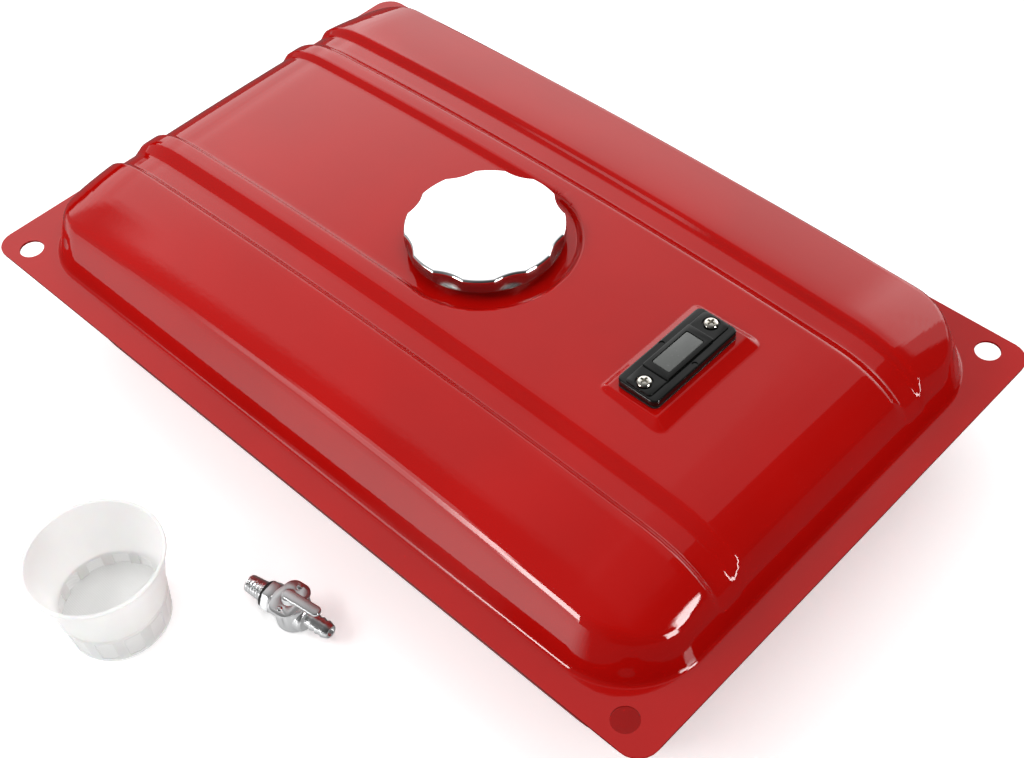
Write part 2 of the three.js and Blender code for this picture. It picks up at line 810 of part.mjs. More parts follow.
function gaugeLens() {
  const high = blockHigh - fit / 2;
  return block(windowWidth + 2 * lensMargin, windowLength + 2 * lensMargin, high - lensThickness, high);
}

function gaugeSeal() {
  const high = gasketBase + gaugeGasket;
  const outline = plate(
    housingWidth,
    housingLength,
    housingCorner,
    gasketBase,
    high,
    screwPlaces.map((y) => [0, y, screwShank + fit]),
  );
  const opening = block(plateWidth + 2 * fit, plateLength + 2 * fit, gasketBase - overrun, high + overrun);
  return cut(outline, opening);
}

// Bracket: a plate under the housing with two cheeks that carry the pivot pin, and a bridge between them
function gaugeBracket() {
  const high = gasketBase + plateThickness;
  const top = block(plateWidth, plateLength, gasketBase, high);
  const opening = block(cheekGap, slotLength, gasketBase - overrun, high + overrun);
  const cheekLow = pivotZ - cheekWidth / 2;
  const cheeks = [-1, 1].map((side) =>
    block(
      cheekThickness,
      cheekWidth,
      cheekLow,
      gasketBase + plateThickness / 2,
      (side * (cheekGap + cheekThickness)) / 2,
    ),
  );
  const bridgeY = cheekWidth / 2 - cheekThickness / 2;
  const span = cheekGap + 2 * cheekThickness;
  const bridge = block(span, cheekThickness, cheekLow, pivotZ - hubRadius, 0, bridgeY);
  const bore = bar(pinRadius, -plateWidth, plateWidth, 0, pivotZ);
  return cut(joined(cut(top, opening), ...cheeks, bridge), bore);
}

const pinPlay = 0.05;
function pivotPin() {
  const half = cheekGap / 2 + cheekThickness + 2 * fit;
  return bar(pinRadius - pinPlay, -half, half, 0, pivotZ);
}

const hubLow = -cheekGap / 2 + fit;
const hubMiddle = 0;
const hubHigh = cheekGap / 2 - fit;

// Indicator: a curved card behind the window, on a spoke and a hub
function indicatorCard() {
  const middle = quarterTurn + (cardBack - cardFront) / 2;
  const inner = cardRadius - cardThickness;
  const arc = sector(inner, cardRadius, cardBack + cardFront, middle, -cardWidth / 2, cardWidth / 2);
  const spokeAngle = quarterTurn + cardBack - cardFront;
  const reach = cardRadius - cardThickness / 2 - hubRadius / 2;
  const spokeBox = new THREE.BoxGeometry(reach, spokeWidth, hubMiddle - fit / 2 - hubLow);
  moved(spokeBox, hubRadius / 2 + reach / 2, 0, (hubLow + hubMiddle - fit / 2) / 2);
  const spoke = solidOf(spokeBox.rotateZ(spokeAngle));
  const hub = rod(hubRadius, hubLow, hubMiddle - fit / 2, 0, 0, 24);
  const bore = rod(pinRadius + pinPlay, -cheekGap, cheekGap, 0, 0, 24);
  return cut(joined(arc, spoke, hub), bore);
}

// Float arm: a hub, and a wire that leaves it in the direction of the float
function floatArm() {
  const hub = rod(hubRadius, hubMiddle + fit / 2, hubHigh, 0, 0, 24);
  const wireX = (hubMiddle + hubHigh) / 2;
  const reach = armLength + floatRadius / 2;
  const wire = new THREE.CylinderGeometry(armWire, armWire, reach - hubRadius / 2, 12);
  wire.rotateZ(quarterTurn);
  moved(wire, (reach + hubRadius / 2) / 2, 0, wireX);
  const bore = rod(pinRadius + pinPlay, -cheekGap, cheekGap, 0, 0, 24);
  return cut(joined(hub, solidOf(wire.rotateZ(Math.PI + armFall))), bore);
}

// Float: a foam cylinder, bored for the arm's wire
function floatBody() {
  const body = rod(floatRadius, -floatLength / 2, floatLength / 2, armLength, 0, 28);
  const wire = new THREE.CylinderGeometry(armWire + fit, armWire + fit, armLength, 12);
  wire.rotateZ(quarterTurn);
  moved(wire, armLength / 2 + floatRadius / 2 + fit, 0, (hubMiddle + hubHigh) / 2);
  return cut(body, solidOf(wire));
}

function gaugeScrew(y) {
  const head = screwSeat + screwHeadHeight;
  const profile = [
    [0, screwSeat - screwLength],
    [screwShank, screwSeat - screwLength],
    [screwShank, screwSeat],
    [screwHead, screwSeat],
    [screwHead, screwSeat + screwHeadHeight / 2],
    [screwHead * screwCrownShare, head],
    [0, head],
  ];
  const armLengthwise = screwHead * screwCrossShare;
  const armAcross = screwShank / 3;
  const low = head - screwHeadHeight / 2;
  const cross = [
    block(armLengthwise, armAcross, low, head + overrun),
    block(armAcross, armLengthwise, low, head + overrun),
  ];
  return cut(turned(profile, 24), ...cross).translate([0, y, 0]);
}

function gaugeNut(y) {
  const high = padTop - sheet - fit;
  const radius = nutFlats / 2 / Math.cos(Math.PI / 6);
  const nut = rod(radius, high - nutHeight, high, 0, y, 6);
  return cut(nut, rod(screwShank + fit / 2, 0, padTop, 0, y, 16));
}

// Fuel tap, built along +X with its thread's free end at the origin of its own frame
const washerStart = tapThreadLength + fit;
const hexStart = washerStart + tapWasherThickness + fit;
const barrelStart = hexStart + tapHexLength;
const barbStart = barrelStart + tapBarrelLength;
const chamberX = barrelStart + tapBarrelLength / 2;
const bossTop = tapFlatsCut + tapBossHeight;
const sealTop = bossTop - tapChamberDepth + tapSealThickness + fit;
const leverLow = sealTop + fit;
const coverLow = bossTop + fit;

// Turned piece about X, from [x, radius] corners
function turnedAlong(corners, sides = 20) {
  const profile = corners.map(([x, r]) => [r, x]);
  const upright = [...profile, profile[0]].map(([r, z]) => new THREE.Vector2(r, z));
  return solidOf(new THREE.LatheGeometry(upright, sides).rotateX(quarterTurn).rotateY(quarterTurn));
}

function tapBody() {
  const corners = [];
  const root = threadRadius - tapThreadDepth;
  const crests = Math.floor((tapThreadLength - tapThreadPitch) / tapThreadPitch);
  corners.push([0, tapBore], [0, root]);
  for (let i = 0; i < crests; i++) {
    const x = (i + 0.5) * tapThreadPitch;
    corners.push([x, threadRadius - fit / 2], [x + tapThreadPitch / 2, root]);
  }
  corners.push([barrelStart - overrun, root], [barrelStart - overrun, tapBarrel]);
  corners.push([barbStart, tapBarrel], [barbStart, tapBarb]);
  const ridgePitch = tapBarbLength / (tapRidges + 1);
  for (let i = 1; i <= tapRidges; i++) {
    const x = barbStart + i * ridgePitch;
    corners.push([x, tapBarb], [x, tapBarb + tapBarbRidge], [x + ridgePitch * tapRidgeShare, tapBarb]);
  }
  const end = barbStart + tapBarbLength;
  corners.push([end, tapBarb - tapBarbRidge / 2], [end, tapBore]);
  const spindle = turnedAlong(corners);
  const hexRadius = tapFlats / 2 / Math.cos(Math.PI / 6);
  const hexLength = tapHexLength + overrun / 2;
  const hexagon = new THREE.CylinderGeometry(hexRadius, hexRadius, hexLength, 6, 1, false, Math.PI / 6);
  moved(hexagon.rotateZ(quarterTurn), hexStart + hexLength / 2, 0, 0);
  const hex = cut(solidOf(hexagon), bar(tapBore, 0, barbStart));
  const size = 2 * (tapBarrel + overrun);
  const shaveLow = block(2 * tapBarrelLength, size, -size, -tapFlatsCut, barbStart);
  const boss = rod(tapBossRadius, -tapFlatsCut, bossTop, chamberX);
  const earWidth = coverScrewSpacing + 4 * coverScrewHead;
  const ear = block(tapBarrel, earWidth, bossTop - tapBossHeight, bossTop, chamberX);
  const chamber = rod(tapChamber, bossTop - tapChamberDepth, bossTop + overrun, chamberX);
  const screws = [-1, 1].map((side) =>
    rod(
      coverScrewShank + fit / 2,
      bossTop - tapChamberDepth,
      bossTop + overrun,
      chamberX,
      (side * coverScrewSpacing) / 2,
      12,
    ),
  );
  return cut(joined(spindle, hex, boss, ear), shaveLow, chamber, ...screws);
}

function tapWasherRing() {
  return turnedAlong([
    [washerStart, threadRadius - tapThreadDepth + fit],
    [washerStart, tapWasher],
    [washerStart + tapWasherThickness, tapWasher],
    [washerStart + tapWasherThickness, threadRadius - tapThreadDepth + fit],
  ]);
}

function tapSeal() {
  const low = bossTop - tapChamberDepth + fit;
  const ports = [0, 1, 2, 3].map((i) => {
    const angle = i * quarterTurn;
    const reach = tapChamber / 2;
    return rod(tapChamber / 6, 0, bossTop, reach * Math.cos(angle), reach * Math.sin(angle), 12);
  });
  const disc = rod(tapChamber - fit, low, low + tapSealThickness);
  return cut(disc, ...ports).translate([chamberX, 0, 0]);
}

// Rotor disc in the chamber with the handle that stands out through the cover
function tapLever() {
  const discHigh = bossTop - fit / 2;
  const disc = rod(tapChamber - fit, leverLow, discHigh, 0, 0);
  const handleLow = coverLow + plateCover + coverScrewHead + 2 * fit;
  const neck = rod(leverNeck, leverLow, handleLow + leverThickness / 2, 0, 0, 24);
  const handleHigh = handleLow + leverThickness;
  const handle = plate(leverLength, leverWidth, leverWidth / 2 - fit / 2, handleLow, handleHigh);
  const reach = (leverLength - leverWidth) / 2;
  return joined(disc, neck, handle.translate([reach, 0, 0])).translate([chamberX, 0, 0]);
}

function tapCover() {
  const width = coverScrewSpacing + 4 * coverScrewHead;
  const high = coverLow + plateCover;
  const holes = [-1, 1].map((side) => [0, (side * coverScrewSpacing) / 2, coverScrewShank + fit / 2]);
  const openings = [[0, 0, coverOpening], ...holes];
  const cover = plate(2 * tapBarrel, width, tapBarrel - overrun, coverLow, high, openings);
  return cover.translate([chamberX, 0, 0]);
}

function tapScrew(side) {
  const seat = coverLow + plateCover + fit / 2;
  const profile = [
    [0, bossTop - tapChamberDepth + fit],
    [coverScrewShank, bossTop - tapChamberDepth + fit],
    [coverScrewShank, seat],
    [coverScrewHead, seat],
    [coverScrewHead, seat + coverScrewHead / 2],
    [coverScrewShank, seat + coverScrewHead * coverHeadShare],
    [0, seat + coverScrewHead * coverHeadShare],
  ];
  return turned(profile, 16).translate([chamberX, (side * coverScrewSpacing) / 2, 0]);
}

// Finishes
const redPaint = finish(0xb01513, 0.18, 0);
const zinc = finish(0xc4c6c8, 0.35, 1);
const chrome = finish(0xe6e8ea, 0.08, 1);
const blackPlastic = finish(0x121314, 0.3, 0);
const rubber = finish(0x1a1a1b, 0.8, 0);
const milkyPlastic = finish(0xeceeec, 0.45, 0);
const clearPlastic = finish(0x9ea2a3, 0.15, 0);
const dieCast = finish(0xb9bcbe, 0.4, 1);
const cardPlastic = finish(0x8d9192, 0.5, 0);
const foam = finish(0x3a3a3c, 0.9, 0);

place("upper_shell", upperShell(), redPaint);
place("lower_shell", lowerShell(), redPaint);
place("outlet_bung", outletBung(), zinc);
place("filler_neck", fillerNeck(), zinc);

const cap = new THREE.Group();
cap.position.set(fillerX, 0, flangeTop);
group.add(cap);
place("cap_shell", capShell(), chrome, cap);
place("cap_inner_cup", capInnerCup(), zinc, cap);
place("cap_spring", capSpring(), zinc, cap);
place("cap_rivet", capRivet(), zinc, cap);
place("cap_retainer", capRetainer(), zinc, cap);
place("cap_gasket", capGasket(), rubber, cap);

const gauge = new THREE.Group();
gauge.position.set(gaugeX, 0, flangeTop);
group.add(gauge);
place("gauge_housing", gaugeHousing(), blackPlastic, gauge);
place("gauge_lens", gaugeLens(), clearPlastic, gauge);
place("gauge_seal", gaugeSeal(), rubber, gauge);
place("gauge_bracket", gaugeBracket(), zinc, gauge);
place("pivot_pin", pivotPin(), zinc, gauge);
screwPlaces.forEach((y, i) => {
  place(`gauge_screw_${i + 1}`, gaugeScrew(y), zinc, gauge);
  place(`gauge_nut_${i + 1}`, gaugeNut(y), zinc, gauge);
});

// The float gear is drawn flat, with the pivot along its own Z, and stood up so that Z runs along the tank
const floatGear = new THREE.Group();
floatGear.position.set(0, 0, pivotZ);
floatGear.rotation.set(quarterTurn, quarterTurn, 0);
gauge.add(floatGear);
place("indicator_card", indicatorCard(), cardPlastic, floatGear);
place("float_arm", floatArm(), zinc, floatGear);
const floatMount = new THREE.Group();
floatMount.rotation.z = Math.PI + armFall;
floatGear.add(floatMount);
place("float", floatBody(), foam, floatMount);

const strainer = new THREE.Group();
strainer.position.set(strainerX, strainerY, 0);
group.add(strainer);
place("strainer_basket", strainerBasket(), milkyPlastic, strainer);
place("strainer_mesh", strainerMesh(), milkyPlastic, strainer);

const tap = new THREE.Group();
tap.position.set(tapX, tapY, tapFlats / 2);
tap.rotation.z = tapTurn;
group.add(tap);
place("tap_body", tapBody(), dieCast, tap);
place("tap_washer", tapWasherRing(), rubber, tap);
place("tap_seal", tapSeal(), rubber, tap);
place("tap_lever", tapLever(), dieCast, tap);
place("tap_cover", tapCover(), zinc, tap);
place("tap_screw_1", tapScrew(-1), zinc, tap);
place("tap_screw_2", tapScrew(1), zinc, tap);

export default group;
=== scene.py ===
import math

import bpy
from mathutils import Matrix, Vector


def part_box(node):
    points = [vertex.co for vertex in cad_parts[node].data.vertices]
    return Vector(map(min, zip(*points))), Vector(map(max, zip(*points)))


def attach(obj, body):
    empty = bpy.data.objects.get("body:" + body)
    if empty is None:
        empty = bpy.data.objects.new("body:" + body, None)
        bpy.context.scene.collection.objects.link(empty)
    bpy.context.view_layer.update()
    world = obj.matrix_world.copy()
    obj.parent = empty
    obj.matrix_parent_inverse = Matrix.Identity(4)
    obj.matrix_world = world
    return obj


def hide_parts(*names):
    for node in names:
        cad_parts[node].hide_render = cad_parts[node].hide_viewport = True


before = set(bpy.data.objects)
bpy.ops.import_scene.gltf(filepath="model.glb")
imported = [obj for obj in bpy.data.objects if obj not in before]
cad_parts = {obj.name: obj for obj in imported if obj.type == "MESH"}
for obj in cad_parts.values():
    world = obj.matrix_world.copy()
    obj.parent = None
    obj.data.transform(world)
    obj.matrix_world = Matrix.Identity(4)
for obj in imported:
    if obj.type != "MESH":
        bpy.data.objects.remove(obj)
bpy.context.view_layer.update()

# Camera and studio.
# The camera stands above the corner by the gauge. Two soft lamps and an even surround light a pale floor.
# Only gloss sees the surround's soft panels: a broad one behind the far left, low strips and small lights.
camera_place = (0.4546, -0.3945, 0.6941)
camera_turn = [math.radians(angle) for angle in (41.041, 2.382, 42.938)]
camera_lens = 54.36
camera_sensor = 36
camera_shift = -0.043
white = (1, 1, 1, 1)
lamps = (
    ("strip_lamp", (-0.62, -0.78, 1.02), (0.9, 0.22), 6.5),
    ("overhead_lamp", (0.1, 0.25, 1.7), (1.6, 1.0), 8),
)
floor_size = 6.0
floor_drop = 0.0006
floor_colour = (0.93, 0.93, 0.93, 1)
floor_lift = 0.4
floor_gloss = 0.12
floor_gloss_front = 1.45
floor_slope = {"From Min": -0.25, "From Max": 0.08, "To Min": 0.58, "To Max": 1.2}
floor_blend = 0.1
front_edge = -0.2
side_edge = 0.16
far_edge = -0.56
diffuse_level = (0.68, 0.68, 0.68, 1)
room_fall = {"From Min": -0.8, "From Max": 0.5, "To Min": 0.34, "To Max": 0.04}
broad_peak = 2.3
broad_stops = (
    (0.0, 0.83), (0.39, 1.0), (0.49, 0.91), (0.57, 0.74), (0.63, 0.61), (0.69, 0.46),
    (0.74, 0.37), (0.785, 0.33), (0.83, 0.27), (0.88, 0.245), (1.0, 0.18),
)

# A panel's level, 1 if the broad stops scale it by height, and its soft edges by axis, place and blend
panels = (
    (1, 1, ("X", -0.27, -0.02), ("Y", 0.235, 0.03)),
    (1, 1, ("X", -0.32, -0.3), ("Y", 0.02, 0.03), ("Y", 0.235, -0.03)),
    (-0.85, 1, ("X", -0.6, -0.05), ("Y", 0.02, 0.03), ("Y", 0.33, -0.05), ("Z", 0.14, -0.05)),
    (-0.95, 1, ("X", -0.76, -0.05), ("Y", 0.02, 0.03), ("Y", 0.075, -0.04)),
    (-0.45, 1, ("X", -0.82, -0.08), ("Y", 0.075, 0.04)),
    (-0.35, 1, ("X", -0.27, -0.02), ("Y", 0.6, 0.12)),
    (0.72, 1, ("X", -0.27, 0.02), ("X", 0.235, -0.03), ("Y", 0.235, 0.03)),
    (0.8, 0, ("Y", 0.77, 0.04), ("X", 0.42, -0.04), ("X", -0.27, 0.03)),
    (0.8, 0, ("Y", 0.9, 0.04), ("X", 0.42, -0.04)),
    (0.1, 0, ("X", -0.27, 0.03), ("X", 0.5, -0.3), ("Y", 0, 0.03), ("Y", 0.235, -0.03)),
    (
        19, 0,
        ("X", -0.25, -0.015), ("X", -0.44, 0.12), ("Y", -0.84, -0.06), ("Z", -0.2, 0.1), ("Z", 0.12, -0.12),
    ),
    (2.4, 0, ("X", -0.4, -0.06), ("X", -0.64, 0.1), ("Y", -0.72, -0.06), ("Z", -0.2, 0.1), ("Z", 0.12, -0.1)),
    (1.9, 0, ("X", -0.42, -0.04), ("X", -0.58, 0.04), ("Y", -0.74, -0.04), ("Z", 0.05, 0.06)),
    (24, 0, ("X", 0.8, 0.03), ("Y", 0.16, 0.03), ("Y", 0.31, -0.03), ("Z", 0.13, 0.04), ("Z", 0.56, -0.05)),
    (20, 0, ("X", 0.965, 0.01), ("Y", 0, 0.03), ("Y", 0.17, -0.03), ("Z", 0.25, -0.04)),
)


def deselect():
    bpy.ops.object.select_all(action="DESELECT")


scene = bpy.context.scene
scene.view_settings.view_transform = "Standard"
deselect()
bpy.ops.object.camera_add(location=camera_place, rotation=camera_turn)
camera = bpy.context.object
camera.data.lens = camera_lens
camera.data.sensor_width = camera_sensor
camera.data.shift_x = camera_shift
scene.camera = camera


def new_material(name, **sockets):
    """A material with one Principled BSDF and that shader's values, its node tree, and the shader."""
    material = bpy.data.materials.new(name)
    material.use_nodes = True
    shader = material.node_tree.nodes["Principled BSDF"]
    for socket, value in sockets.items():
        shader.inputs[socket.replace("_", " ").title().replace("Ior", "IOR")].default_value = value
    return material, material.node_tree, shader


def node(tree, kind, inputs=None, **settings):
    """Adds a shader node, gives each input a value or a link from a socket, and returns its outputs."""
    made = tree.nodes.new("ShaderNode" + kind)
    for setting, value in settings.items():
        setattr(made, setting, value)
    for socket, value in (inputs or {}).items():
        if isinstance(value, bpy.types.NodeSocket):
            tree.links.new(value, made.inputs[socket])
        else:
            made.inputs[socket].default_value = value
    return made.outputs


def maths(tree, operation, *values):
    return node(tree, "Math", dict(enumerate(values)), operation=operation)["Value"]


def soft_step(tree, value, edge, blend, high=1):
    """Rises smoothly from 0 to high across an edge, or falls if blend is negative."""
    inputs = {"Value": value, "From Min": edge - blend / 2, "From Max": edge + blend / 2, "To Max": high}
    return node(tree, "MapRange", inputs, interpolation_type="SMOOTHSTEP")["Result"]


def blended(tree, share, start, end):
    return node(tree, "Mix", {"Factor": share, "A": start, "B": end}, data_type="RGBA")["Result"]


bpy.ops.mesh.primitive_plane_add(size=floor_size, location=(0, 0, -floor_drop))
floor = bpy.context.object
floor.name = "floor"
floor_material, floor_tree, floor_shader = new_material(
    "floor_white", base_color=floor_colour, roughness=0.9, emission_color=white
)
floor.data.materials.append(floor_material)

# The floor is lifted to white. In gloss it is bright in front of the tank, dim elsewhere, and open past its
# far edge, so that the low strips show there.
floor_path = node(floor_tree, "LightPath")
floor_seen = maths(floor_tree, "MAXIMUM", floor_path["Is Camera Ray"], floor_path["Is Transmission Ray"])
floor_lifted = maths(floor_tree, "MULTIPLY", floor_seen, floor_lift)
floor_axes = node(floor_tree, "SeparateXYZ", {"Vector": node(floor_tree, "TexCoord")["Object"]})
in_front = soft_step(floor_tree, floor_axes["Y"], front_edge, -floor_blend, floor_gloss_front)
at_left = soft_step(floor_tree, floor_axes["X"], side_edge, -floor_blend)
beyond = soft_step(floor_tree, floor_axes["Y"], far_edge, -floor_blend)
slope = node(floor_tree, "MapRange", {"Value": floor_axes["X"], **floor_slope})["Result"]
front_level = maths(floor_tree, "MULTIPLY", in_front, slope)
glow_level = maths(floor_tree, "MULTIPLY_ADD", front_level, at_left, floor_gloss)
glow = node(floor_tree, "Emission", {"Strength": glow_level})["Emission"]
opening = node(floor_tree, "BsdfTransparent")["BSDF"]
floor_glossy = node(floor_tree, "MixShader", {"Fac": beyond, 1: glow, 2: opening})["Shader"]
floor_inputs = {"Fac": floor_path["Is Glossy Ray"], 1: floor_shader.outputs["BSDF"], 2: floor_glossy}
floor_mix = node(floor_tree, "MixShader", floor_inputs)["Shader"]
floor_tree.links.new(floor_lifted, floor_shader.inputs["Emission Strength"])
floor_tree.links.new(floor_mix, floor_tree.nodes["Material Output"].inputs["Surface"])

for lamp_name, lamp_place, lamp_size, lamp_power in lamps:
    bpy.ops.object.light_add(type="AREA", location=lamp_place)
    lamp = bpy.context.object
    lamp.name = lamp_name
    lamp.data.shape = "RECTANGLE"
    lamp.data.size, lamp.data.size_y = lamp_size
    lamp.data.energy = lamp_power
    lamp.rotation_euler = (-Vector(lamp_place)).to_track_quat("-Z", "Y").to_euler()
    lamp.visible_glossy = False

surround = bpy.data.worlds.new("surround")
scene.world = surround
surround.use_nodes = True
sky = surround.node_tree
axes = node(sky, "SeparateXYZ", {"Vector": node(sky, "TexCoord")["Generated"]})
ramp = sky.nodes.new("ShaderNodeValToRGB")
while len(ramp.color_ramp.elements) < len(broad_stops):
    ramp.color_ramp.elements.new(0.5)
for element, (stop, level) in zip(ramp.color_ramp.elements, broad_stops):
    element.position = stop
    element.color = (level, level, level, 1)
sky.links.new(axes["Z"], ramp.inputs["Fac"])
by_height = maths(sky, "MULTIPLY", ramp.outputs["Color"], broad_peak)
gloss_level = node(sky, "MapRange", {"Value": axes["X"], **room_fall})["Result"]
for level, scaled, *edges in panels:
    if scaled:
        level = maths(sky, "MULTIPLY", by_height, level)
    for axis, edge, blend in edges:
        level = maths(sky, "MULTIPLY", level, soft_step(sky, axes[axis], edge, blend))
    gloss_level = maths(sky, "ADD", gloss_level, level)
gloss_level = maths(sky, "MAXIMUM", gloss_level, 0)
path = node(sky, "LightPath")
seen = maths(sky, "MAXIMUM", path["Is Camera Ray"], path["Is Transmission Ray"])
unseen_level = blended(sky, path["Is Glossy Ray"], diffuse_level, gloss_level)
sky.links.new(blended(sky, seen, unseen_level, white), sky.nodes["Background"].inputs["Color"])

# Upper shell.
# A deep-drawn sheet of 1 mm steel in glossy red, with a flat flange, a steep wall and a domed deck.
# A press forms two long grooves, a sunk panel that ends round the filler, and a raised pad for the gauge.
sheet = 0.001
flange_top = 0.078
half_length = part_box("upper_shell")[1].x
half_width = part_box("upper_shell")[1].y
flange_corner = 0.012
corner_inset = 0.06
wall_inset = 0.0153
wall_slope = math.tan(math.radians(72))
foot_blend = 0.004
rim_blend = 0.008
deck_height = 0.048
deck_dome = 0.009
deck_crown = 0.001
end_drop = 0.0163
end_reach = 0.070
end_power = 2.9
side_drop = 0.0101
side_power = 1.3
crease_inset = 0.021
groove_edges = (0.0754, 0.0788, 0.0911, 0.097)
groove_depth = 0.0045
recess_depth = 0.0033
recess_edge = 0.0515
recess_foot = 0.0485
filler_x = 0.0045
gauge_x = 0.137
pad_top = 0.0474
pad_half = (0.0155, 0.0345)
pad_spread = (0.0085, 0.006)
pad_fall = 0.0046
pad_blend = 0.0003
bolt_radius = 0.007
bolt_inset = (0.0204, 0.0132)
clear = 0.01
cell = 0.002
arc_x = half_length - corner_inset
arc_y = half_width - corner_inset
ring_insets = (
    0.0, 0.0008, 0.0035, 0.0065, 0.0095, 0.012, 0.0132, 0.0138, 0.0144, 0.015, 0.0156, 0.0163, 0.0172,
    0.0184, 0.0196, 0.0208, 0.0219, 0.023, 0.0241, 0.0252, 0.0264, 0.0278, 0.0294, 0.0312, 0.0334,
    0.036, 0.0395, 0.0435, 0.048, 0.054, 0.06,
)


def smooth_min(a, b, blend):
    near = max(blend - abs(a - b), 0) / blend
    return min(a, b) - near * near * blend / 4


def smooth_max(a, b, blend):
    return -smooth_min(-a, -b, blend)


def ramped(share):
    """Rises evenly from 0 to 1 with a small round at each end."""
    return smooth_max(0, smooth_min(1, share, 0.3), 0.3)


def panel_distance(x, y):
    """Distance from the middle line of the sunk panel, whose end is a half round about the filler."""
    return math.hypot(max(x - filler_x, 0), y)


def deck_at(x, y):
    """Height of the deck above the flange, with its grooves, sunk panel and gauge pad."""
    from_end = max(half_length - abs(x), crease_inset)
    from_side = max(half_width - abs(y), crease_inset)
    crest = half_width - groove_edges[0]
    deck = deck_height - deck_dome * (x / (half_length - crease_inset)) ** 2
    deck -= deck_crown * min(abs(y) / crest, 1) ** 2
    deck -= end_drop * max((end_reach - from_end) / (end_reach - crease_inset), 0) ** end_power
    deck -= side_drop * max((groove_edges[0] - from_side) / (groove_edges[0] - crease_inset), 0) ** side_power
    outer = (from_side - groove_edges[0]) / (groove_edges[1] - groove_edges[0])
    inner = (groove_edges[3] - from_side) / (groove_edges[3] - groove_edges[2])
    deck -= groove_depth * ramped(min(outer, inner))
    deck -= recess_depth * ramped((recess_edge - panel_distance(x, y)) / (recess_edge - recess_foot))
    out_x = max(abs(x - gauge_x) - pad_half[0], 0) / pad_spread[0]
    out_y = max(abs(y) - pad_half[1], 0) / pad_spread[1]
    pad = pad_top - pad_fall * math.hypot(out_x, out_y)
    return smooth_max(deck, pad, pad_blend)


def upper_height(x, y, inset):
    wall = (inset - wall_inset) * wall_slope
    return flange_top + smooth_max(0, smooth_min(wall, deck_at(x, y), rim_blend), foot_blend)


def corner_reach(inset, angle):
    """Distance from a corner arc's centre to the sheet's outline, which is sharper at the flange's edge."""
    round_reach = corner_inset - inset
    straight = corner_inset - flange_corner
    reach = corner_inset / max(math.cos(angle), math.sin(angle))
    if reach * min(math.cos(angle), math.sin(angle)) > straight:
        along = straight * (math.cos(angle) + math.sin(angle))
        reach = along + math.sqrt(along * along - 2 * straight * straight + flange_corner * flange_corner)
    share = max(1 - inset / (wall_inset - foot_blend / 2), 0)
    return round_reach + share * (reach - corner_inset)


def nearest_moved(lines, keys):
    """Grid lines, with the nearest free one moved onto each key place in order."""
    first = 0
    for key in sorted(keys):
        index = min(range(first, len(lines)), key=lambda i: abs(lines[i] - key))
        lines[index] = key
        first = index + 1
    return lines


def pressed_sheet(name, insets, x_keys, y_keys, height_at, step, snap=None):
    """A flat grid whose outer rows become rings round the tank, pressed to height_at(x, y, inset)."""
    spans_x = round(2 * arc_x / step)
    spans_y = round(2 * arc_y / step)
    rings = len(insets) - 1
    lines_x = nearest_moved([-arc_x + 2 * arc_x * i / spans_x for i in range(spans_x + 1)], x_keys)
    lines_y = nearest_moved([-arc_y + 2 * arc_y * i / spans_y for i in range(spans_y + 1)], y_keys)
    deselect()
    bpy.ops.mesh.primitive_grid_add(
        x_subdivisions=spans_x + 2 * rings, y_subdivisions=spans_y + 2 * rings, size=2, location=(0, 0, 0)
    )
    piece = bpy.context.object
    piece.name = name
    places = []
    columns = spans_x + 2 * rings + 1
    for index, vertex in enumerate(piece.data.vertices):
        row, column = divmod(index, columns)
        over_x = max(rings - column, column - rings - spans_x, 0)
        over_y = max(rings - row, row - rings - spans_y, 0)
        ring = max(over_x, over_y)
        inset = insets[rings - ring]
        side_x = -1 if column < rings else 1
        side_y = -1 if row < rings else 1
        x = lines_x[min(max(column - rings, 0), spans_x)]
        y = lines_y[min(max(row - rings, 0), spans_y)]
        if over_x and over_y:
            turn = over_y / (2 * over_x) if over_x >= over_y else 1 - over_x / (2 * over_y)
            angle = turn * math.pi / 2
            reach = corner_reach(inset, angle)
            x = side_x * (arc_x + reach * math.cos(angle))
            y = side_y * (arc_y + reach * math.sin(angle))
        elif over_x:
            x = side_x * (half_length - inset)
        elif over_y:
            y = side_y * (half_width - inset)
        elif snap:
            x, y = snap(x, y)
        places += [x, y, height_at(x, y, inset)]
    piece.data.vertices.foreach_set("co", places)
    piece.data.update()
    return piece


def onto_panel_edge(x, y):
    """Moves a point of the grid onto the sunk panel's edge or foot where either runs close by."""
    distance = panel_distance(x, y)
    for edge in (recess_edge, recess_foot):
        if x > filler_x and abs(distance - edge) < cell / 2:
            scale = edge / distance
            return filler_x + (x - filler_x) * scale, y * scale
    return x, y


def to_mode(mode):
    bpy.ops.object.mode_set(mode=mode)


def chosen(piece):
    """Makes a piece the only one that operators act on."""
    deselect()
    bpy.context.view_layer.objects.active = piece
    piece.select_set(True)
    return piece


def settled(piece):
    """Puts a piece's place, turn and scale into its mesh."""
    chosen(piece)
    bpy.ops.object.transform_apply(location=True, rotation=True, scale=True)
    return piece


def modified(piece, kind, **settings):
    """Adds one modifier with its settings and applies it."""
    modifier = chosen(piece).modifiers.new(kind.lower(), kind)
    for setting, value in settings.items():
        setattr(modifier, setting, value)
    bpy.ops.object.modifier_apply(modifier=modifier.name)
    return piece


def cylinder(radius, low, high, x=0.0, y=0.0, sides=64):
    deselect()
    bpy.ops.mesh.primitive_cylinder_add(
        vertices=sides, radius=radius, depth=high - low, location=(x, y, (low + high) / 2)
    )
    return settled(bpy.context.object)


def cylinder_pair(radius, low, high, x, reach, sides=24):
    """Two cylinders at the same distance each side of the X axis."""
    return [cylinder(radius, low, high, x, side * reach, sides) for side in (-1, 1)]


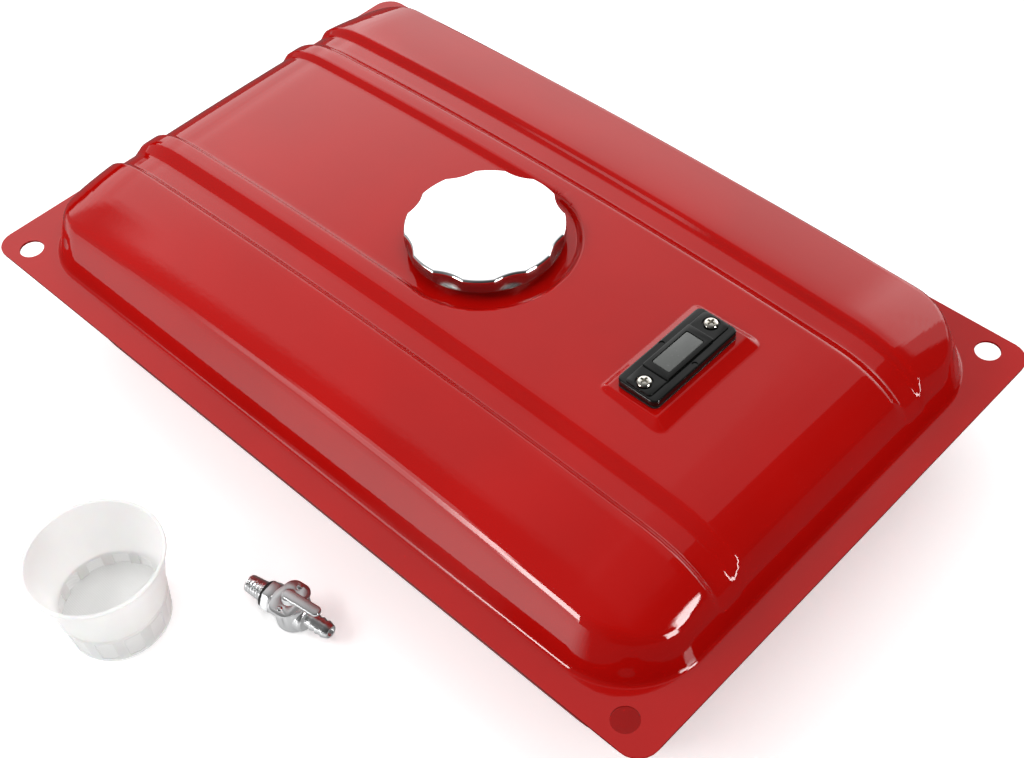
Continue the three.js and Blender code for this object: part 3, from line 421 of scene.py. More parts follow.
def cuboid(low, high):
    middle = (Vector(low) + Vector(high)) / 2
    deselect()
    bpy.ops.mesh.primitive_cube_add(size=1, location=middle, scale=Vector(high) - Vector(low))
    return settled(bpy.context.object)


def gauge_opening(half, low, high):
    """A box-shaped cutter centred on the gauge."""
    return cuboid((gauge_x - half[0], -half[1], low), (gauge_x + half[0], half[1], high))


def joined(pieces):
    """Makes one object of several that don't touch."""
    chosen(pieces[0])
    for piece in pieces:
        piece.select_set(True)
    bpy.ops.object.join()
    return pieces[0]


def combined(piece, others, operation="DIFFERENCE"):
    """Cuts other solids out of a piece, or joins them to it, and removes them."""
    for other in others:
        modified(piece, "BOOLEAN", operation=operation, solver="EXACT", object=other)
        bpy.data.objects.remove(other)
    return piece


def smoothed(piece, angle=35):
    chosen(piece)
    bpy.ops.object.shade_smooth_by_angle(angle=math.radians(angle))
    return piece


def finished(piece, body, stands_for, material):
    """Gives a finished piece its material, ties it to the CAD body, and hides the CAD node that it stands
    for.
    """
    piece.data.materials.clear()
    piece.data.materials.append(material)
    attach(piece, body)
    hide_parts(stands_for)
    return piece


def bolt_cutters(level):
    """Four cylinders that cut the bolt holes through a sheet at a level."""
    cutters = []
    for side_x in (-1, 1):
        x = side_x * (half_length - bolt_inset[0])
        cutters += cylinder_pair(bolt_radius, level - clear, level + clear, x, half_width - bolt_inset[1], 64)
    return cutters


# Dust, orange peel and small colour changes, shared by the finishes
surface = bpy.data.node_groups.new("paint_surface", "ShaderNodeTree")
for way, name, kind in (
    ("INPUT", "Colour", "Color"), ("INPUT", "Dust Colour", "Color"), ("INPUT", "Dust Amount", "Float"),
    ("INPUT", "Dust Scale", "Float"), ("INPUT", "Roughness", "Float"), ("INPUT", "Peel", "Float"),
    ("OUTPUT", "Colour", "Color"), ("OUTPUT", "Roughness", "Float"), ("OUTPUT", "Height", "Float"),
):
    surface.interface.new_socket(name=name, in_out=way, socket_type="NodeSocket" + kind)
given = surface.nodes.new("NodeGroupInput").outputs
result = surface.nodes.new("NodeGroupOutput").inputs
surface_place = node(surface, "TexCoord")["Object"]
specks = node(surface, "TexVoronoi", {"Vector": surface_place, "Scale": given["Dust Scale"]})
patches = node(surface, "TexNoise", {"Vector": surface_place, "Scale": 38})
cloud = node(surface, "TexNoise", {"Vector": surface_place, "Scale": 14, "Detail": 3})
peel = node(surface, "TexNoise", {"Vector": surface_place, "Scale": 260, "Detail": 2})
dots = node(surface, "MapRange", {"Value": specks["Distance"], "From Min": 0.16, "From Max": 0.06})
where = node(surface, "MapRange", {"Value": patches["Fac"], "From Min": 0.56, "From Max": 0.72})
dusty = maths(surface, "MULTIPLY", dots["Result"], where["Result"])
dusty = maths(surface, "MULTIPLY", dusty, given["Dust Amount"])
shade_range = {"From Min": 0.3, "From Max": 0.7, "To Min": 0.93, "To Max": 1.05}
shade = node(surface, "MapRange", {"Value": cloud["Fac"], **shade_range})
tint = node(surface, "VectorMath", {0: given["Colour"], "Scale": shade["Result"]}, operation="SCALE")
surface.links.new(blended(surface, dusty, tint["Vector"], given["Dust Colour"]), result["Colour"])
surface.links.new(maths(surface, "MULTIPLY_ADD", dusty, 0.35, given["Roughness"]), result["Roughness"])
surface.links.new(maths(surface, "MULTIPLY", peel["Fac"], given["Peel"]), result["Height"])


def surfaced(name, colour, dust_colour, dust, dust_scale, roughness, depth, peel=1.0, **sockets):
    """A material with the shared surface group in it, and its own values."""
    material, tree, shader = new_material(name, base_color=colour, **sockets)
    inputs = {
        "Colour": colour, "Dust Colour": dust_colour, "Dust Amount": dust, "Dust Scale": dust_scale,
        "Roughness": roughness, "Peel": peel,
    }
    group = node(tree, "Group", inputs, node_tree=surface)
    bump = node(tree, "Bump", {"Height": group["Height"], "Distance": depth})
    tree.links.new(group["Colour"], shader.inputs["Base Color"])
    tree.links.new(group["Roughness"], shader.inputs["Roughness"])
    tree.links.new(bump["Normal"], shader.inputs["Normal"])
    return material


red = (0.42, 0.0032, 0.002, 1)
paint_dust = (0.6, 0.25, 0.22, 1)
red_paint = surfaced(
    "red_paint", red, paint_dust, dust=0.1, dust_scale=700, roughness=0.05, depth=0.000012,
    specular_ior_level=0.37,
)

round_half = 0.0007
fine_reach = (-0.25, 1.3)
fine_cuts = 2
x_keys = [gauge_x + side * (pad_half[0] + out) for side in (-1, 1) for out in (0, pad_spread[0])]
y_keys = [pad_half[1], pad_half[1] + pad_spread[1]]
for way in (-1, 1):
    y_keys += [half_width - edge + round_half * way for edge in groove_edges]
    y_keys += [edge + round_half * way / 2 for edge in (recess_edge, recess_foot)]
y_keys += [-key for key in y_keys]
upper_shell = pressed_sheet(
    "upper_shell_skin", ring_insets, x_keys, y_keys, upper_height, cell, onto_panel_edge
)


def in_fine_area(x, y):
    """True at the sunk panel's round end and on the pad's slopes, which need a finer grid."""
    out = max((abs(x - gauge_x) - pad_half[0]) / pad_spread[0], (abs(y) - pad_half[1]) / pad_spread[1])
    by_panel = x > filler_x and abs(panel_distance(x, y) - (recess_edge + recess_foot) / 2) < 2 * cell
    return by_panel or fine_reach[0] < out < fine_reach[1]


for face in upper_shell.data.polygons:
    face.select = in_fine_area(face.center.x, face.center.y)
to_mode("EDIT")
bpy.ops.mesh.subdivide(number_cuts=fine_cuts)
to_mode("OBJECT")
for vertex in upper_shell.data.vertices:
    x, y, _ = vertex.co
    if in_fine_area(x, y):
        vertex.co.z = upper_height(x, y, corner_inset)
modified(upper_shell, "SOLIDIFY", thickness=sheet, offset=-1)
cut_high = flange_top + deck_height
neck_hole = 0.0362
slot_half = (0.0069, 0.0175)
screw_hole = 0.0022
screw_reach = 0.0253
cutters = bolt_cutters(flange_top)
cutters.append(cylinder(neck_hole, flange_top, cut_high, filler_x, 0, 128))
cutters.append(gauge_opening(slot_half, flange_top, cut_high))
cutters += cylinder_pair(screw_hole, flange_top, cut_high, gauge_x, screw_reach)
combined(upper_shell, [joined(cutters)])
finished(smoothed(upper_shell, 40), "tank", "upper_shell", red_paint)

# Lower shell.
# A second drawn sheet, 1 mm thick, whose flange is seam-welded under the upper one.
# Its basin has a little draft, a wide bottom radius and a round pocket pressed up for the outlet.
basin_inset = 0.018
basin_lean = math.tan(math.radians(4))
basin_round = 0.022
lower_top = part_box("lower_shell")[1].z
outlet = (-0.17, -0.08)
pocket_radius = 0.020
pocket_height = 0.013
bung_hole = 0.0093
bend_reach = 0.0015
bend_turns = (0, 0.5, 1)
wall_shares = (0.15, 0.5, 0.85)
basin_steps = 8
basin_cell = 0.008
basin = dict.fromkeys((0.0, 0.0008, 0.006, 0.012, 0.0160), lower_top)
for turn_share in bend_turns:
    turn = turn_share * math.pi / 2
    inset = basin_inset - bend_reach + bend_reach * math.sin(turn) + 0.0004
    basin[inset] = lower_top - bend_reach * (1 - math.cos(turn)) - 0.0002
for wall_share in wall_shares:
    level = lower_top - wall_share * (lower_top - basin_round)
    basin[basin_inset + (flange_top - level) * basin_lean] = level
round_inset = basin_inset + (flange_top - basin_round) * basin_lean
for step in range(basin_steps + 1):
    turn = step / basin_steps * math.pi / 2
    basin[round_inset + basin_round * (1 - math.cos(turn))] = basin_round * (1 - math.sin(turn))
basin[corner_inset] = 0.0


def lower_height(x, y, inset):
    return basin[inset]


lower_shell = pressed_sheet("lower_shell_basin", tuple(basin), [], [], lower_height, basin_cell)
modified(lower_shell, "SOLIDIFY", thickness=sheet, offset=1)
combined(lower_shell, [cylinder(pocket_radius + sheet, sheet / 2, pocket_height + sheet, *outlet)], "UNION")
basin_cutters = [cylinder(pocket_radius, -sheet, pocket_height, *outlet)]
basin_cutters.append(cylinder(bung_hole, 0, flange_top / 2, *outlet))
combined(lower_shell, basin_cutters + bolt_cutters(lower_top))
finished(smoothed(lower_shell, 40), "tank", "lower_shell", red_paint)

# Outlet bung.
# A turned steel bush whose flange is brazed on the pocket's roof. Its bore holds the tap's thread.
steel_tone = (0.56, 0.565, 0.57, 1)
soot = (0.2, 0.2, 0.2, 1)
zinc_steel = surfaced(
    "zinc_steel", steel_tone, soot, dust=0.25, dust_scale=900, roughness=0.3, depth=0.00001, metallic=1.0
)


def turned(name, profile, place=(0, 0, 0), steps=96):
    """Spins a closed outline of [radius, height] corners round an upright axis through a place."""
    deselect()
    bpy.ops.mesh.primitive_circle_add(vertices=len(profile), fill_type="NOTHING", location=(0, 0, 0))
    piece = bpy.context.object
    piece.name = name
    piece.data.vertices.foreach_set("co", [value for r, z in profile for value in (r, 0, z)])
    to_mode("EDIT")
    bpy.ops.mesh.select_all(action="SELECT")
    bpy.ops.mesh.spin(steps=steps, angle=2 * math.pi, center=(0, 0, 0), axis=(0, 0, 1))
    bpy.ops.mesh.select_all(action="SELECT")
    bpy.ops.mesh.remove_doubles(threshold=merge_distance)
    bpy.ops.mesh.normals_make_consistent(inside=False)
    to_mode("OBJECT")
    piece.location = place
    return settled(piece)


def plate(name, outline, low, high):
    """Raises a flat outline of [x, y] corners into a plate."""
    deselect()
    bpy.ops.mesh.primitive_circle_add(vertices=len(outline), fill_type="NGON", location=(0, 0, 0))
    piece = bpy.context.object
    piece.name = name
    piece.data.vertices.foreach_set("co", [value for x, y in outline for value in (x, y, low)])
    to_mode("EDIT")
    bpy.ops.mesh.select_all(action="SELECT")
    bpy.ops.mesh.extrude_region_move(TRANSFORM_OT_translate={"value": (0, 0, high - low)})
    bpy.ops.mesh.select_all(action="SELECT")
    bpy.ops.mesh.normals_make_consistent(inside=False)
    to_mode("OBJECT")
    return piece


def round_rectangle(width, depth, radius, x=0.0, y=0.0, steps=8):
    outline = []
    for corner, (side_x, side_y) in enumerate(((1, 1), (-1, 1), (-1, -1), (1, -1))):
        for step in range(steps + 1):
            turn = (corner + step / steps) * math.pi / 2
            outline.append((
                x + side_x * (width / 2 - radius) + radius * math.cos(turn),
                y + side_y * (depth / 2 - radius) + radius * math.sin(turn),
            ))
    return outline


def ring_sector(inner, outer, middle, span, x=0.0, y=0.0, steps=12):
    turns = [middle + span * (step / steps - 0.5) for step in range(steps + 1)]
    outline = [(x + outer * math.cos(turn), y + outer * math.sin(turn)) for turn in turns]
    return outline + [(x + inner * math.cos(turn), y + inner * math.sin(turn)) for turn in reversed(turns)]


def eased(piece, width, segments=2, angle=35):
    """Rounds off a piece's sharp edges."""
    return modified(
        piece, "BEVEL", width=width, segments=segments, limit_method="ANGLE", angle_limit=math.radians(angle)
    )


merge_distance = 0.00001
thread_radius = 0.006
thread_pitch = 0.0015
thread_ridges = 7
thread_depth = 0.0006
bung_low = 0.013
bung_top = 0.024
bung_rim = 0.009
bung_flange = (0.013, 0.0143, 0.0168)
bung_bore = []
for ridge in range(thread_ridges):
    level = bung_top - (ridge + 0.25) * thread_pitch
    bung_bore += [(thread_radius, level), (thread_radius + thread_depth, level - thread_pitch / 2)]
bung_profile = bung_bore + [
    (thread_radius, bung_low), (bung_rim, bung_low), (bung_rim, bung_flange[1]),
    (bung_flange[0], bung_flange[1]), (bung_flange[0], bung_flange[2]), (bung_rim, bung_flange[2]),
    (bung_rim, bung_top), (thread_radius, bung_top),
]
outlet_bung = turned("outlet_bung_turned", bung_profile, (*outlet, 0))
finished(smoothed(eased(outlet_bung, 0.0003, 2, 60)), "tank", "outlet_bung", zinc_steel)

# Filler neck.
# A drawn steel collar with a flange brazed under the deck.
# Two notches in its rolled lip let the cap's claws in.
lip_top = flange_top + 0.052
neck_place = (filler_x, 0, 0)
neck_profile = [
    (0.03316, lip_top - 0.016), (0.03416, lip_top - 0.016), (0.03524, lip_top - 0.0103),
    (0.04381, lip_top - 0.0103), (0.04381, lip_top - 0.0093), (0.03543, lip_top - 0.0093),
    (0.0369, lip_top - 0.0016), (0.0386, lip_top - 0.0016), (0.0386, lip_top), (0.0362, lip_top),
]
notch_span = math.radians(34)
notch_reach = (0.0367, 0.042)
notch_depth = 0.0019
neck = turned("filler_neck_collar", neck_profile, neck_place, 128)
notches = []
for middle in (0, math.pi):
    outline = ring_sector(*notch_reach, middle, notch_span, filler_x)
    notches.append(plate("notch", outline, lip_top - notch_depth, lip_top + notch_depth))
combined(neck, notches)
finished(smoothed(eased(neck, 0.00035, 3, 40)), "tank", "filler_neck", zinc_steel)

# Cap shell.
# A chromed steel cup with eight lobes and eight scallops pressed into its skirt for the fingers.
# The scallops fade out towards the skirt's foot. The skirt's plating is rougher, and it is painted darker
# than the top as painted shade for its dim reflections.
chrome_tone = (0.95, 0.95, 0.955, 1)
# Painted shade: a darker colour for the skirt, standing in for the dim reflections on the cap's sides
skirt_painted_shade_tone = (0.42, 0.4, 0.39, 1)
chrome_roughness = 0.06
skirt_dulling = 0.2
cap_radius = 0.043
cap_sheet = 0.0005
cap_top = 0.1366
cap_skirt = 0.1275
cap_lobes = 8
cap_steps = 384
cap_rings = (0.15, 0.3, 0.45, 0.6)
cap_face_inset = 0.0003
lobe_phase = math.radians(-4.7)
scallop_depth = 0.0022
scallop_run = 0.6
cap_edge = 0.0013
lobe_blend = 0.00005
lobe_edge = 0.0004


def cap_reach(turn, depth=scallop_depth):
    """Radius of the cap's outline, with a crisp edge between each lobe and scallop."""
    pitch = 2 * math.pi / cap_lobes
    along = ((turn - lobe_phase) / pitch) % 1
    across = (along - 0.5) * 4
    return cap_radius - smooth_max(0, depth * (1 - across * across), lobe_blend)


chrome_shell = surfaced(
    "chrome_shell", chrome_tone, soot, dust=0.12, dust_scale=1100, roughness=chrome_roughness, depth=0.000005,
    peel=0.5, metallic=1.0,
)
chrome_tree = chrome_shell.node_tree
chrome_inputs = chrome_tree.nodes["Group"].inputs
chrome_axes = node(chrome_tree, "SeparateXYZ", {"Vector": node(chrome_tree, "TexCoord")["Object"]})
# Below the top's rounded edge the skirt is painted darker as painted shade, and its roughness is raised
skirt_range = {"From Min": cap_top - cap_edge / 2, "From Max": cap_top - 1.4 * cap_edge}
on_skirt = node(chrome_tree, "MapRange", {"Value": chrome_axes["Z"], **skirt_range})["Result"]
dulled = maths(chrome_tree, "MULTIPLY_ADD", on_skirt, skirt_dulling, chrome_roughness)
chrome_tree.links.new(blended(chrome_tree, on_skirt, chrome_tone, skirt_painted_shade_tone), chrome_inputs["Colour"])
chrome_tree.links.new(dulled, chrome_inputs["Roughness"])

cap_turns = [lobe_phase + 2 * math.pi * step / cap_steps for step in range(cap_steps)]
cap_outline = [
    (filler_x + cap_reach(turn) * math.cos(turn), cap_reach(turn) * math.sin(turn)) for turn in cap_turns
]
cap_shell = plate("cap_shell_pressed", cap_outline, cap_skirt, cap_top)
for ring in cap_rings:
    to_mode("EDIT")
    bpy.ops.mesh.select_all(action="SELECT")
    level = cap_skirt + ring * (cap_top - cap_skirt)
    bpy.ops.mesh.bisect(plane_co=(0, 0, level), plane_no=(0, 0, 1))
    to_mode("OBJECT")
for vertex in cap_shell.data.vertices:
    height = (vertex.co.z - cap_skirt) / (cap_top - cap_skirt)
    fade = 1 - max(1 - height / scallop_run, 0) ** 2
    turn = math.atan2(vertex.co.y, vertex.co.x - filler_x)
    reach = cap_reach(turn, scallop_depth * fade)
    vertex.co.x, vertex.co.y = filler_x + reach * math.cos(turn), reach * math.sin(turn)
eased(cap_shell, cap_edge, 5, 60)

# The open underside loses its faces, and the top face gets a narrow rim of its own
to_mode("EDIT")
bpy.ops.mesh.select_all(action="DESELECT")
to_mode("OBJECT")
for face in cap_shell.data.polygons:
    face.select = face.normal.z < -0.02
to_mode("EDIT")
bpy.ops.mesh.delete(type="FACE")
to_mode("OBJECT")
for face in cap_shell.data.polygons:
    face.select = face.normal.z > 0.999
to_mode("EDIT")
bpy.ops.mesh.inset(thickness=cap_face_inset)
bpy.ops.mesh.select_all(action="SELECT")
bpy.ops.mesh.delete_loose()
to_mode("OBJECT")
eased(cap_shell, lobe_edge, 2, 22)
modified(cap_shell, "SOLIDIFY", thickness=cap_sheet, offset=-1)
finished(smoothed(cap_shell, 24), "cap", "cap_shell", chrome_shell)

# Cap's inner cup, retainer, rivet and gasket.
# The cup carries two claws that grip the neck's lip.
# A rivet holds the dished plate and its rubber ring loosely.
cup_outer = 0.0401
cup_wall = 0.0008
cup_bore = cup_outer - cup_wall
play = 0.0003
cup_top = flange_top + 0.0563
claw_top = flange_top + 0.0501
claw_sheet = 0.0009
claw_span = math.radians(24)
claw_tip = 0.0375
claw_root = 0.0023
rivet_hole = 0.0032
cup_profile = [
    (rivet_hole, cup_top - cup_wall), (cup_bore, cup_top - cup_wall), (cup_bore, claw_top + play),
    (cup_outer, claw_top + play), (cup_outer, cup_top), (rivet_hole, cup_top),
]
inner_cup = turned("cap_inner_cup_drawn", cup_profile, neck_place, 128)
claws = []
for middle in (0, math.pi):
    leg = ring_sector(cup_bore, cup_outer, middle, claw_span, filler_x)
    toe = ring_sector(claw_tip, cup_outer, middle, claw_span, filler_x)
    claws.append(plate("claw_leg", leg, claw_top - claw_sheet, claw_top + claw_root))
    claws.append(plate("claw_toe", toe, claw_top - claw_sheet, claw_top))
combined(inner_cup, claws, "UNION")
finished(smoothed(eased(inner_cup, 0.0002, 2, 50)), "cap", "cap_inner_cup", zinc_steel)

gasket_thickness = 0.0018
dish_depth = 0.0026
gasket_low = lip_top + play
gasket_high = gasket_low + gasket_thickness
gasket_reach = (0.0337, 0.0387)
retainer_low = gasket_high + play
dish_reach = gasket_reach[0] - play
dish_floor = retainer_low + cup_wall - dish_depth
retainer_profile = [
    (rivet_hole, dish_floor), (dish_reach, dish_floor), (dish_reach, retainer_low),
    (gasket_reach[1], retainer_low), (gasket_reach[1], retainer_low + cup_wall),
    (dish_reach - cup_wall, retainer_low + cup_wall),
    (dish_reach - cup_wall, dish_floor + cup_wall), (rivet_hole, dish_floor + cup_wall),
]
retainer = turned("cap_retainer_dish", retainer_profile, neck_place)
finished(smoothed(eased(retainer, 0.00025, 2, 50)), "cap_seal", "cap_retainer", zinc_steel)

rivet_shank = 0.0029
rivet_head = 0.005
head_height = 0.0007
rivet_low = dish_floor - play - head_height
rivet_high = cup_top + play + head_height
rivet_profile = [
    (0, rivet_low), (rivet_head * 0.8, rivet_low), (rivet_head, rivet_low + head_height * 0.6),
    (rivet_head, rivet_low + head_height), (rivet_shank, rivet_low + head_height),
    (rivet_shank, rivet_high - head_height), (rivet_head, rivet_high - head_height),
    (rivet_head, rivet_high - head_height * 0.6), (rivet_head * 0.8, rivet_high), (0, rivet_high),
]
rivet = turned("cap_rivet_set", rivet_profile, neck_place, 48)
finished(smoothed(rivet), "cap", "cap_rivet", zinc_steel)

rubber_tone = (0.018, 0.018, 0.018, 1)
chalk = (0.12, 0.12, 0.115, 1)
black_rubber = surfaced(
    "black_rubber", rubber_tone, chalk, dust=0.5, dust_scale=1200, roughness=0.68, depth=0.00003
)
gasket_profile = [
    (gasket_reach[0], gasket_low), (gasket_reach[1], gasket_low), (gasket_reach[1], gasket_high),
    (gasket_reach[0], gasket_high),
]
gasket = turned("cap_gasket_ring", gasket_profile, neck_place)
finished(smoothed(eased(gasket, 0.0004, 3, 50)), "cap_seal", "cap_gasket", black_rubber)

# Cap spring, gauge bracket, pivot pin and gauge nuts.
# A flat cone of sprung wire presses the dished plate down. The bracket is folded plate, hung by two nuts, and
# holds the float's pin. All are zinc-plated steel, none shows from outside, and each keeps its solid's shape.
for plated_node in ("cap_spring", "gauge_bracket", "pivot_pin", "gauge_nut_1", "gauge_nut_2"):
    for material_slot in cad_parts[plated_node].material_slots:
        material_slot.material = zinc_steel

# Gauge housing.
# One glossy black moulding on the pad: a low strip on each long side, two screw pads, and a raised middle.
gauge_black = (0.006, 0.0065, 0.006, 1)
grey_dust = (0.16, 0.16, 0.15, 1)
black_plastic = surfaced(
    "black_plastic", gauge_black, grey_dust, dust=0.12, dust_scale=1600, roughness=0.1, depth=0.000012,
    specular_ior_level=0.3,
)
housing_low = flange_top + 0.0488
housing_high = flange_top + 0.0528
block_high = flange_top + 0.0544
housing_size = (0.0253, 0.0635)
housing_corner = 0.0034
block_size = (0.016, 0.0355)
screw_pad_rise = 0.0008
screw_pad_margin = 0.0026
screw_well = 0.0047
sight_size = (0.009, 0.0245)
cavity_half = (0.0054, 0.01755)
cavity_high = flange_top + 0.052
mark_radius = 0.0016
mark_inset = 0.0021
mark_depth = 0.0006
lens_size = (0.0108, 0.0263)
lens_sheet = 0.0012
overrun = 0.001
sunk = housing_high - 0.001
housing_outline = round_rectangle(*housing_size, housing_corner, gauge_x)
housing = plate("gauge_housing_moulded", housing_outline, housing_low, housing_high)
eased(housing, 0.0008, 3)
pads_outline = round_rectangle(block_size[0], housing_size[1] - screw_pad_margin, 0.002, gauge_x)
pads = eased(plate("screw_pads", pads_outline, sunk, housing_high + screw_pad_rise), 0.0003)
middle_block = plate("middle_block", round_rectangle(*block_size, 0.0009, gauge_x), sunk, block_high)
eased(middle_block, 0.0004)
combined(housing, [pads, middle_block], "UNION")
rebate_outline = round_rectangle(lens_size[0] + 2 * play, lens_size[1] + 2 * play, 0.001, gauge_x)
rebate = plate("rebate", rebate_outline, block_high - lens_sheet - play, block_high + overrun)
sight = plate("sight", round_rectangle(*sight_size, 0.0008, gauge_x), housing_low - overrun, block_high)
cavity = gauge_opening(cavity_half, housing_low - overrun, cavity_high)
wells = cylinder_pair(screw_well, housing_high - 0.0001, block_high + overrun, gauge_x, screw_reach, 48)
bores = cylinder_pair(screw_hole, housing_low - overrun, block_high, gauge_x, screw_reach)
marks = []
for side in (-1, 1):
    mark_x = gauge_x + side * (housing_size[0] / 2 - mark_inset)
    marks.append(cylinder(mark_radius, housing_high - mark_depth, block_high + overrun, mark_x, 0, 32))
combined(housing, [rebate, sight, cavity] + wells + bores + marks)
finished(smoothed(housing, 30), "tank", "gauge_housing", black_plastic)

# Gauge lens.
# A smoky clear plastic window pressed into the rebate, just proud of the housing.
lens_tone = (0.13, 0.135, 0.13, 1)
lens_haze = (0.5, 0.5, 0.5, 1)
clear_plastic = surfaced(
    "clear_plastic", lens_tone, lens_haze, dust=0.5, dust_scale=500, roughness=0.14, depth=0.00002, alpha=0.82
)
lens_high = flange_top + 0.05425
lens_outline = round_rectangle(*lens_size, 0.0009, gauge_x)
lens = plate("gauge_lens_window", lens_outline, lens_high - lens_sheet, lens_high)
finished(smoothed(eased(lens, 0.0003), 30), "tank", "gauge_lens", clear_plastic)

# Gauge seal.
# A flat rubber gasket between the pad and the housing, open round the bracket's plate.
seal_low = flange_top + 0.0477
seal_high = flange_top + 0.0485
seal_half = (0.0103, 0.0223)
seal = plate("gauge_seal_cut", round_rectangle(*housing_size, housing_corner, gauge_x), seal_low, seal_high)
seal_opening = gauge_opening(seal_half, seal_low - overrun, seal_high + overrun)
seal_holes = cylinder_pair(screw_hole, seal_low - overrun, seal_high + overrun, gauge_x, screw_reach)
combined(seal, [seal_opening] + seal_holes)
finished(smoothed(seal, 30), "tank", "gauge_seal", black_rubber)

# Gauge screws.
# Two nickel-plated pan-head screws with a cross recess, run down into nuts under the pad.
nickel_tone = (0.72, 0.69, 0.62, 1)
nickel = surfaced(
    "nickel_plate", nickel_tone, soot, dust=0.5, dust_scale=1500, roughness=0.2, depth=0.00001, metallic=1.0
)
screw_seat = housing_high + play
screw_head = 0.0037
screw_crown = 0.002
screw_shank = 0.0019
screw_foot = screw_seat - 0.011
screw_tip = 0.0008
screw_profile = [(0, screw_foot), (screw_shank * 0.7, screw_foot), (screw_shank, screw_foot + screw_tip)]
screw_profile += [(screw_shank, screw_seat), (screw_head, screw_seat)]
for share, rise in ((1, 0.0008), (0.94, 0.0013), (0.8, 0.00165), (0.55, 0.0019), (0.25, screw_crown)):
    screw_profile.append((screw_head * share, screw_seat + rise))
screw_profile.append((0, screw_seat + screw_crown))
cross_low = screw_seat + screw_crown - 0.0016
cross_size = (0.0046, 0.0012)


def cross_cutters(size, corner, x, y, low, high):
    """Two crossed bars that cut a screw's recess."""
    return [plate("cross", round_rectangle(*bar, corner, x, y), low, high) for bar in (size, size[::-1])]


for number, side in ((1, -1), (2, 1)):
    screw_y = side * screw_reach
    screw = turned(f"gauge_screw_{number}_plated", screw_profile, (gauge_x, screw_y, 0), 48)
    combined(screw, cross_cutters(cross_size, 0.0004, gauge_x, screw_y, cross_low, screw_seat + 0.003))
    eased(screw, 0.0001, 1, 50)
    finished(smoothed(screw), "tank", f"gauge_screw_{number}", nickel)

# Indicator card, float arm and float.
# They hang under the bracket inside the tank: a curved card behind the window, a steel wire and a foam float.
card_tone = (0.42, 0.43, 0.43, 1)
foam_tone = (0.03, 0.03, 0.032, 1)
grey_plastic = surfaced(
    "grey_plastic", card_tone, chalk, dust=0.3, dust_scale=900, roughness=0.42, depth=0.00002
)
float_foam = surfaced("float_foam", foam_tone, chalk, dust=0.6, dust_scale=1800, roughness=0.8, depth=0.0002)
swinging = {"indicator_card": grey_plastic, "float_arm": zinc_steel, "float": float_foam}
for float_node, material in swinging.items():
    for material_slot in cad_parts[float_node].material_slots:
        material_slot.material = material

# Strainer.
# A basket moulded in milky plastic stands loose in front of the tank. Below its funnel, broad ribs hold a
# fine mesh, moulded in, that also closes it with a floor above its open foot.
milk_tone = (0.965, 0.97, 0.96, 1)
milk_shade = (0.9, 0.9, 0.88, 1)
milky_plastic = surfaced(
    "milky_plastic", milk_tone, milk_shade, dust=0.3, dust_scale=400, roughness=0.32, depth=0.00003,
    alpha=0.62, transmission_weight=0.3, subsurface_weight=0.3, subsurface_scale=0.004,
)
basket_place = (-0.040, -0.246, 0)
basket_rim = 0.036
basket_lip = 0.0368
lip_height = 0.0016
basket_waist = 0.0296
basket_neck = 0.0289
basket_foot = 0.0276
basket_height = 0.0555
waist_height = 0.0215
basket_wall = 0.0013
rib_count = 12
window_share = 0.6
window_low = 0.0028
window_high = 0.0185
shoulder = 0.0012
foot_round = 0.0006
basket_profile = [
    (basket_foot - basket_wall, 0), (basket_foot - foot_round, 0), (basket_foot, foot_round),
    (basket_waist, waist_height - shoulder), (basket_waist - foot_round, waist_height - foot_round),
    (basket_neck, waist_height), (basket_rim, basket_height - lip_height),
    (basket_lip, basket_height - lip_height), (basket_lip, basket_height),
    (basket_rim - basket_wall, basket_height), (basket_neck - basket_wall, waist_height),
]
basket = turned("strainer_basket_moulded", basket_profile, basket_place, 144)
rib_pitch = 2 * math.pi / rib_count
windows = []
for rib in range(rib_count):
    middle = (rib + 0.5) * rib_pitch
    outline = ring_sector(basket_foot / 2, basket_rim, middle, window_share * rib_pitch, *basket_place[:2])
    windows.append(plate("window", outline, window_low, window_high))
combined(basket, windows)
eased(basket, 0.0004, 3, 50)
finished(smoothed(basket), "strainer", "strainer_basket", milky_plastic)

# The woven mesh shows as fine crossed threads
mesh_tone = (0.95, 0.955, 0.945, 1)
mesh_gap = (0.84, 0.845, 0.835, 1)
mesh_scale = 420
mesh_slant = (math.radians(45), math.radians(35), 0)
mesh_relief = 0.0001
mesh_cloth, cloth_tree, cloth_shader = new_material("mesh_cloth", roughness=0.45, alpha=0.75)
cloth_place = node(cloth_tree, "TexCoord")["Object"]
slanted = node(cloth_tree, "Mapping", {"Vector": cloth_place, "Rotation": mesh_slant})["Vector"]
threads = [
    node(cloth_tree, "TexWave", {"Vector": slanted, "Scale": mesh_scale}, bands_direction=axis)["Fac"]
    for axis in ("X", "Y")
]
crossed = maths(cloth_tree, "MAXIMUM", *threads)
cloth_bump = node(cloth_tree, "Bump", {"Height": crossed, "Distance": mesh_relief})["Normal"]
cloth_tree.links.new(blended(cloth_tree, crossed, mesh_gap, mesh_tone), cloth_shader.inputs["Base Color"])
cloth_tree.links.new(cloth_bump, cloth_shader.inputs["Normal"])

mesh_floor = 0.0105
mesh_thread = 0.0003
mesh_sink = 0.0005
mesh_low = 0.002
mesh_high = 0.0195


def mesh_reach(height, depth):
    """Radius of the basket's lower part at a height, less a depth below its outside."""
    return basket_foot + (basket_waist - basket_foot) * height / waist_height - depth


